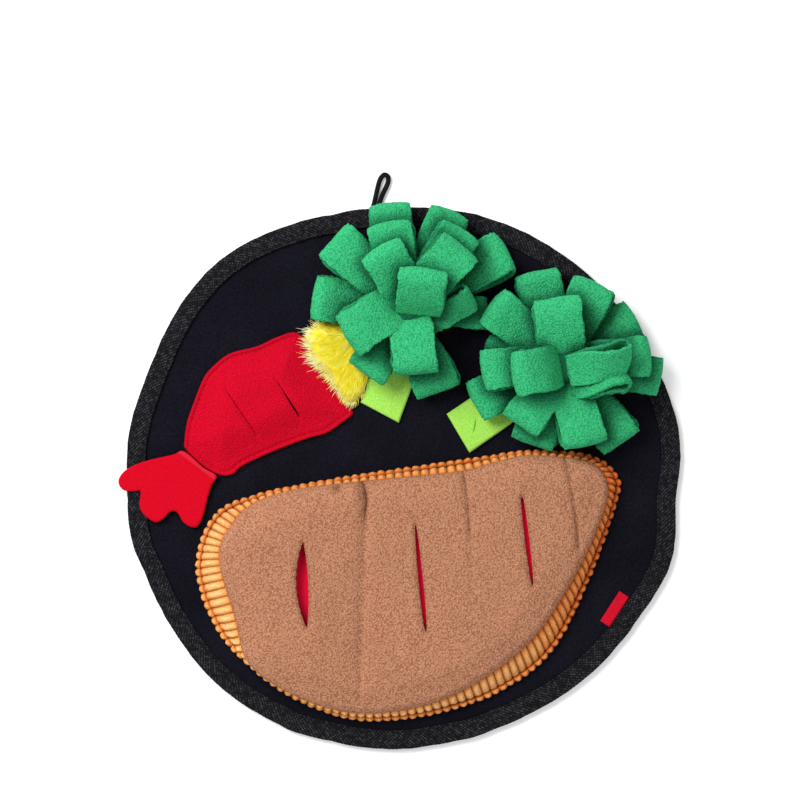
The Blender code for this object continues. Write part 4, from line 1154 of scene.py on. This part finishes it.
def comb_fur(mound, draw):
    """The hairs' lines over the mat, which hang outwards, their brightness and their lift."""
    spots = draw.uniform(mound.min(axis=0), mound.max(axis=0), (6 * FUR_CLUMPS, 2))
    roots = spots[depth_inside(mound, spots[:, 0], spots[:, 1]) > 0.3][:FUR_CLUMPS]
    share = np.linspace(0.0, 1.0, FUR_RINGS)
    lines, bright, rise = [], [], []
    for root in roots:
        angle, length = fur_flow(*root)
        angle += math.radians(draw.normal(0.0, 10.0))
        bend = draw.normal(0.0, 12.0)
        clump_bright, clump_rise = draw.uniform(0.0, 1.0), draw.uniform(0.1, 1.0)
        for _ in range(FUR_HAIRS):
            start = root + draw.normal(0.0, 0.8, 2)
            own = angle + math.radians(draw.normal(0.0, 6.0))
            turned = own + np.radians(bend + draw.normal(0.0, 5.0)) * share
            step = length * draw.uniform(0.6, 1.15) / (FUR_RINGS - 1)
            way = np.column_stack([np.cos(turned), np.sin(turned)])
            lines.append(start + np.cumsum(way, axis=0) * step)
            bright.append(clump_bright + draw.normal(0.0, 0.15))
            rise.append(clump_rise * draw.uniform(0.4, 1.2))
    lines = np.array(lines)
    ways = lines[:, -1] - lines[:, 0]
    fringe = math.radians(FUR_FRINGE)
    outward = ways @ (math.cos(fringe), math.sin(fringe)) > 0.45 * np.hypot(*ways.T)
    wispy = np.where(lines[:, 0, 1] > FUR_WISPY_Y, 2.9, 0.9)
    reach = np.where(outward, 0.6 + wispy * draw.exponential(1.0, len(lines)),
                     0.3 + 0.4 * draw.exponential(1.0, len(lines)))
    past = -depth_inside(mound, *lines.reshape(-1, 2).T).reshape(len(lines), FUR_RINGS)
    kept = (past <= reach[:, None]).cumprod(axis=1).sum(axis=1).clip(3, FUR_RINGS) / FUR_RINGS
    lines = lines[:, :1] + (lines - lines[:, :1]) * kept[:, None, None]
    return lines, outward, np.clip(bright, 0.0, 1.0), np.array(rise)


def make_fur():
    """The plush strip: a soft mound, and long silky hairs that lie over it and past its edge."""
    mound = smooth_loop(FUR_MOUND, 120)

    def under(x, y, inside):
        return np.full(len(x), LAY_Z + 0.2)

    def faint(x, y, inside):
        return 0.1 + 0.2 * flat_grain(x, y, 1.4)

    backing = disc_sheet("fur_backing", FUR_MOUND, FUR_CENTRE, under, fur_height, "yellow",
                         rings=22, marks={"along": faint, "own": faint})
    lines, outward, bright, rise = comb_fur(mound, np.random.default_rng(FUR_SEED))
    x, y = lines.reshape(-1, 2).T
    inside = depth_inside(mound, x, y)
    over_red = depth_inside(smooth_loop(SHRIMP_BODY, 160), x, y)
    floor = np.where(over_red > 0.0, body_over(x, y, np.maximum(over_red, 0.0)) + 0.3, LAY_Z + 1.2)
    level = np.where(inside > 0.0, fur_height(x, y, np.maximum(inside, 0.0)), floor)
    level = np.maximum(level, np.where(inside > -2.5, LAY_Z + RED_FLEECE, 0.0))
    level = level.reshape(len(lines), FUR_RINGS)
    level[:, 1:-1] = (level[:, :-2] + level[:, 1:-1] + level[:, 2:]) / 3
    share = np.linspace(0.0, 1.0, FUR_RINGS)
    level = level + 0.15 + rise[:, None] * np.sin(math.pi * share * 0.8)
    # Painted highlight: hairs hanging out past the mound's edge, and the ends of the brightest
    # clumps, are made pale.
    painted_highlight = np.clip((1.8 - inside.reshape(level.shape)) / 4.0, 0.0, 1.0) * outward[:, None]
    painted_highlight = np.clip(painted_highlight + 0.6 * (bright > 0.86)[:, None] * share, 0.0, 1.0)
    thin = FUR_RADIUS * (1.0 - share) ** 0.6 + 0.02
    tubes = [tube_run(at_height(line, z), thin, FUR_SIDES) for line, z in zip(lines, level)]
    marks = {"along": np.repeat(painted_highlight.ravel(), FUR_SIDES),
             "own": np.repeat(bright, FUR_RINGS * FUR_SIDES)}
    return backing, join_tubes("fur_pile", tubes, "yellow", marks)


# ---- Stalks and tufts ----


def make_stalk(name, corners):
    """A felt piece with four corners, its free end slightly raised."""
    a, b, c, d = np.array(corners)
    u = np.linspace(0.0, 1.0, 31)[None, :, None]
    v = np.linspace(0.0, 1.0, 41)[:, None, None]
    flat = (a * (1 - u) + b * u) * (1 - v) + (d * (1 - u) + c * u) * v
    x, y = flat[..., 0], flat[..., 1]
    free_x, free_y = (a + b) / 2
    low = LAY_Z + 0.7 * (1.0 - smoothstep(np.hypot(x - free_x, y - free_y) / 16.0))
    inside = distance_to(np.array(corners), x.ravel(), y.ravel()).reshape(x.shape)
    high = low + FELT * lip(inside, 0.8, 0.55) + 0.25 * (flat_grain(x, y, 11.0) - 0.5)
    return closed_sheet(name, np.dstack([flat, low]), np.dstack([flat, high]), "lime")


def make_stalk_stitch():
    path = at_height(smooth_path(STALK_STITCH, 5), LAY_Z + FELT + 0.45)
    return stitches("stalk_stitch", path, "green_thread", pitch=20.0, length=9.6, radius=0.36)


def strip_line(loop):
    """Middle line of a folded strip: position, width vector and half width at each station."""
    root_z, crest, neck, third = TIERS[loop["tier"]]
    root = Vector((4.0, 0.0, root_z))
    tip = Vector((loop["reach"], 0.0, loop["tip"]))
    bend = Vector(((root.x + tip.x) / 2, 0.0, 2 * crest - (root.z + tip.z) / 2))

    def spine(t):
        return root * (1 - t) ** 2 + bend * 2 * t * (1 - t) + tip * t * t

    half_open = (loop["open"] + TUFT_FLEECE) / 2
    fold = half_open / (tip - root).length
    pressed = 1.2 / half_open
    # How far along, how far off the spine and how wide: out below it, and back above it.
    outward = [
        (0.0, pressed, neck), (0.33, max(0.45, pressed), third), (0.66, 0.72, 0.95),
        (0.98 - fold, 0.98, 1.0), (1.0 - 0.30 * fold, 0.66, 0.97),
    ]
    stations = [(t, -side, width) for t, side, width in outward]
    stations += [(1.0, 0.0, 0.95), *outward[::-1]]
    line = []
    for t, side, width in stations:
        ahead = (spine(min(t + 0.02, 1.02)) - spine(t)).normalized()
        level = Vector((0.0, 1.0, 0.0))
        above = ahead.cross(level)
        twist = math.radians(loop["roll"]) * float(smoothstep(t * 1.4))
        up = above * math.cos(twist) + level * math.sin(twist)
        wide = level * math.cos(twist) - above * math.sin(twist)
        point = spine(t) + up * side * half_open
        line.append([*point, *wide, width * loop["width"] * STRIP_WIDER / 2])
    return np.array(line)


def strip_grid(centre, loop, number):
    """Points over one folded strip, its normals outwards, and its length."""
    line = smooth_path(strip_line(loop), 4)
    middle, wide, half = line[:, :3], unit(line[:, 3:6]), line[:, 6:]
    normal = np.cross(unit(np.gradient(middle, axis=0)), wide)
    across = STRIP_ACROSS
    share = np.linspace(0.0, 1.0, len(line))[:, None]
    arch = np.sin(math.pi * share)
    wave = 0.45 * np.sin(across * 2.2 + share * 9.0 + number * 1.7)
    lift = 0.8 * arch**2 * (1.0 - across**2) + arch * (wave - 0.3 * np.abs(across) ** 4)
    lean = 1.0 + 0.05 * math.sin(number * 2.4)
    below = smoothstep((0.48 - share) / 0.12) * smoothstep(share / 0.3)
    width = half * across * np.where(across > 0, lean, 2.0 - lean)
    width = width + STRIP_SKEW * math.sin(number * 1.9 + 0.6) * below
    sheet = middle[:, None] + wide[:, None] * width[..., None] - normal[:, None] * lift[..., None]
    turn = math.radians(loop["azimuth"])
    axes = [[math.cos(turn), math.sin(turn), 0], [-math.sin(turn), math.cos(turn), 0], [0, 0, 1]]
    return sheet @ np.array(axes) + (*centre, 0.0), distances(middle)[-1]


def strip_shade(grids, number):
    """Painted shade on each point of a strip, from 0 to 1, where it lies down among the strips above
    it.
    """
    others = [grid[::2, ::2].reshape(-1, 3) for i, grid in enumerate(grids) if i != number]
    off = grids[number].reshape(-1, 1, 3) - np.vstack(others)
    higher = np.clip((-off[..., 2] - 1.5) / 2.0, 0.0, 1.0)
    deep = (bell(np.hypot(off[..., 0], off[..., 1]), SHADE_REACH) * higher).max(axis=1)
    rows, columns = grids[number].shape[:2]
    share = np.repeat(np.linspace(0.0, 1.0, rows), columns)
    # The strip's lower layer gets half painted shade.
    return np.maximum(deep, 0.5 * smoothstep((0.48 - share) / 0.1))


def read_values(items, name, width):
    """A named number or vector of each vertex."""
    values = np.zeros(len(items) * width)
    items.foreach_get(name, values)
    return values.reshape(-1, width)


def make_strip(name, grid, deep, number):
    """One fleece strip folded back on itself, with its thickness and its curly pile."""
    # deep is the painted shade that strip_shade gives.
    marks = {"deep": deep, "side": np.tile(STRIP_ACROSS**6, len(grid))}
    made = add_grid(name, grid, "green", marks)
    shell = made.modifiers.new("thickness", "SOLIDIFY")
    shell.thickness = TUFT_FLEECE * MM
    shell.offset = 0.0
    shell.use_even_offset = True
    shell.edge_crease_inner = shell.edge_crease_outer = 0.6
    soft = made.modifiers.new("soft", "SUBSURF")
    soft.levels = soft.render_levels = 1
    keep_modifiers(made)
    mesh = made.data
    points = read_values(mesh.vertices, "co", 3) / MM
    normals = read_values(mesh.vertices, "normal", 3)
    side = read_values(mesh.attributes["side"].data, "value", 1)[:, 0]
    pile = 0.5 * (grain(points, 6.5, number) - 0.5)
    pile += (0.35 + 0.9 * side) * (grain(points, 1.4, number) - 0.5)
    mesh.vertices.foreach_set("co", ((points + normals * pile[:, None]) * MM).ravel())
    mesh.shade_smooth()
    mesh.update()
    return made


def make_core(name, centre):
    """The bunched middle of a tuft, which shows only between its strips, with painted shade all
    over.
    """
    turn = np.arange(CORE_COLUMNS) * TURN / CORE_COLUMNS
    ways = np.column_stack([np.cos(turn), np.sin(turn)])
    rings = []
    for radius, z in TUFT_CORE:
        fold = 1.0 + 0.05 * (radius > 5) * np.sin(turn * 16 + z)
        rings.append(at_height(centre + ways * (radius * fold)[:, None], z))
    return closed_tube(name, np.array(rings), "green", {"deep": np.ones(len(rings) * CORE_COLUMNS)})


# ---- Camera, light and floor ----


def make_camera():
    camera = bpy.data.cameras.new("camera")
    camera.lens = LENS
    camera.sensor_width = SENSOR
    made = place("camera", camera)
    made.location = (VIEW_CENTRE[0] * MM, VIEW_CENTRE[1] * MM, CAMERA_HEIGHT * MM)
    bpy.context.scene.camera = made


def make_studio():
    """A plain pale floor, soft light all round and a large soft light from the upper left."""
    bpy.context.scene.view_settings.view_transform = "Standard"
    world = bpy.context.scene.world = bpy.data.worlds.new("studio")
    world.use_nodes = True
    fill(world, world.node_tree.nodes["Background"], Color=WHITE, Strength=ALL_ROUND)
    for name, spot, size, power in LIGHTS:
        light = bpy.data.lights.new(name, "AREA")
        light.size = size
        light.energy = power
        made = place(name, light)
        made.location = spot
        made.rotation_euler = (-Vector(spot)).to_track_quat("-Z", "Y").to_euler()
    look = new_look("floor", 0.9, 0.0, WHITE, 0.0)
    fill(look, Emission_Color=WHITE, Emission_Strength=FLOOR_GLOW)
    paint(look, ramp(look, noise(look, 400.0, 1.0), (0.0, 0.90), (1.0, 0.92)))
    corners = FLOOR_REACH * np.array([(-1, -1, 0), (1, -1, 0), (1, 1, 0), (-1, 1, 0)])
    add_mesh("floor", corners, [(0, 1, 2, 3)], "floor")


# ---- Everything together ----


def settle(piece, slot, *nodes):
    """Let a piece ride on the mat and hide the nodes that it stands for. Its slot is not used."""
    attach(piece, "root")
    if nodes:
        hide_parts(*nodes)
    return piece


def main():
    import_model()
    make_camera()
    make_looks()

    cord, path = make_cord()
    settle(cord, "webbing", "hang_loop")

    mat = settle(make_mat(), "velvet", "base_mat")

    binding, thread = make_binding()
    settle(binding, "webbing", "edge_binding")
    settle(thread, "webbing")

    tag = settle(make_tag(), "tag", "side_tag")

    pad, thread = make_pad()
    settle(pad, "corduroy", "steak_pad")
    settle(thread, "corduroy")

    lining = settle(make_lining(), "crimson", "steak_lining")

    top = settle(make_steak_top(), "tan", "steak_top")

    body, thread = make_body()
    settle(body, "red", "shrimp_body")
    settle(thread, "red")

    tail = settle(make_tail(), "red_felt", "shrimp_tail")

    backing, pile = make_fur()
    settle(backing, "yellow", "shrimp_fur")
    settle(pile, "yellow")

    for node, corners in (("stalk_left", STALK_LEFT), ("stalk_right", STALK_RIGHT)):
        stalk = settle(make_stalk("felt_" + node, corners), "lime", node)
    settle(make_stalk_stitch(), "green")

    for node, centre, loops, sewn_off in TUFTS:
        core = settle(make_core(node + "_core", centre), "green", node)
        made = []
        for number, loop in enumerate(loops, 1):
            off = sewn_off.get(number, (0.0, 0.0))
            made.append(strip_grid((centre[0] + off[0], centre[1] + off[1]), loop, number))
        grids = [grid for grid, _ in made]
        for i, (grid, length) in enumerate(made):
            name = f"{node}_strip_{i + 1:02d}"
            strip = make_strip(name, grid, strip_shade(grids, i), i + 1)
            settle(strip, "green", node)

    make_studio()


main()
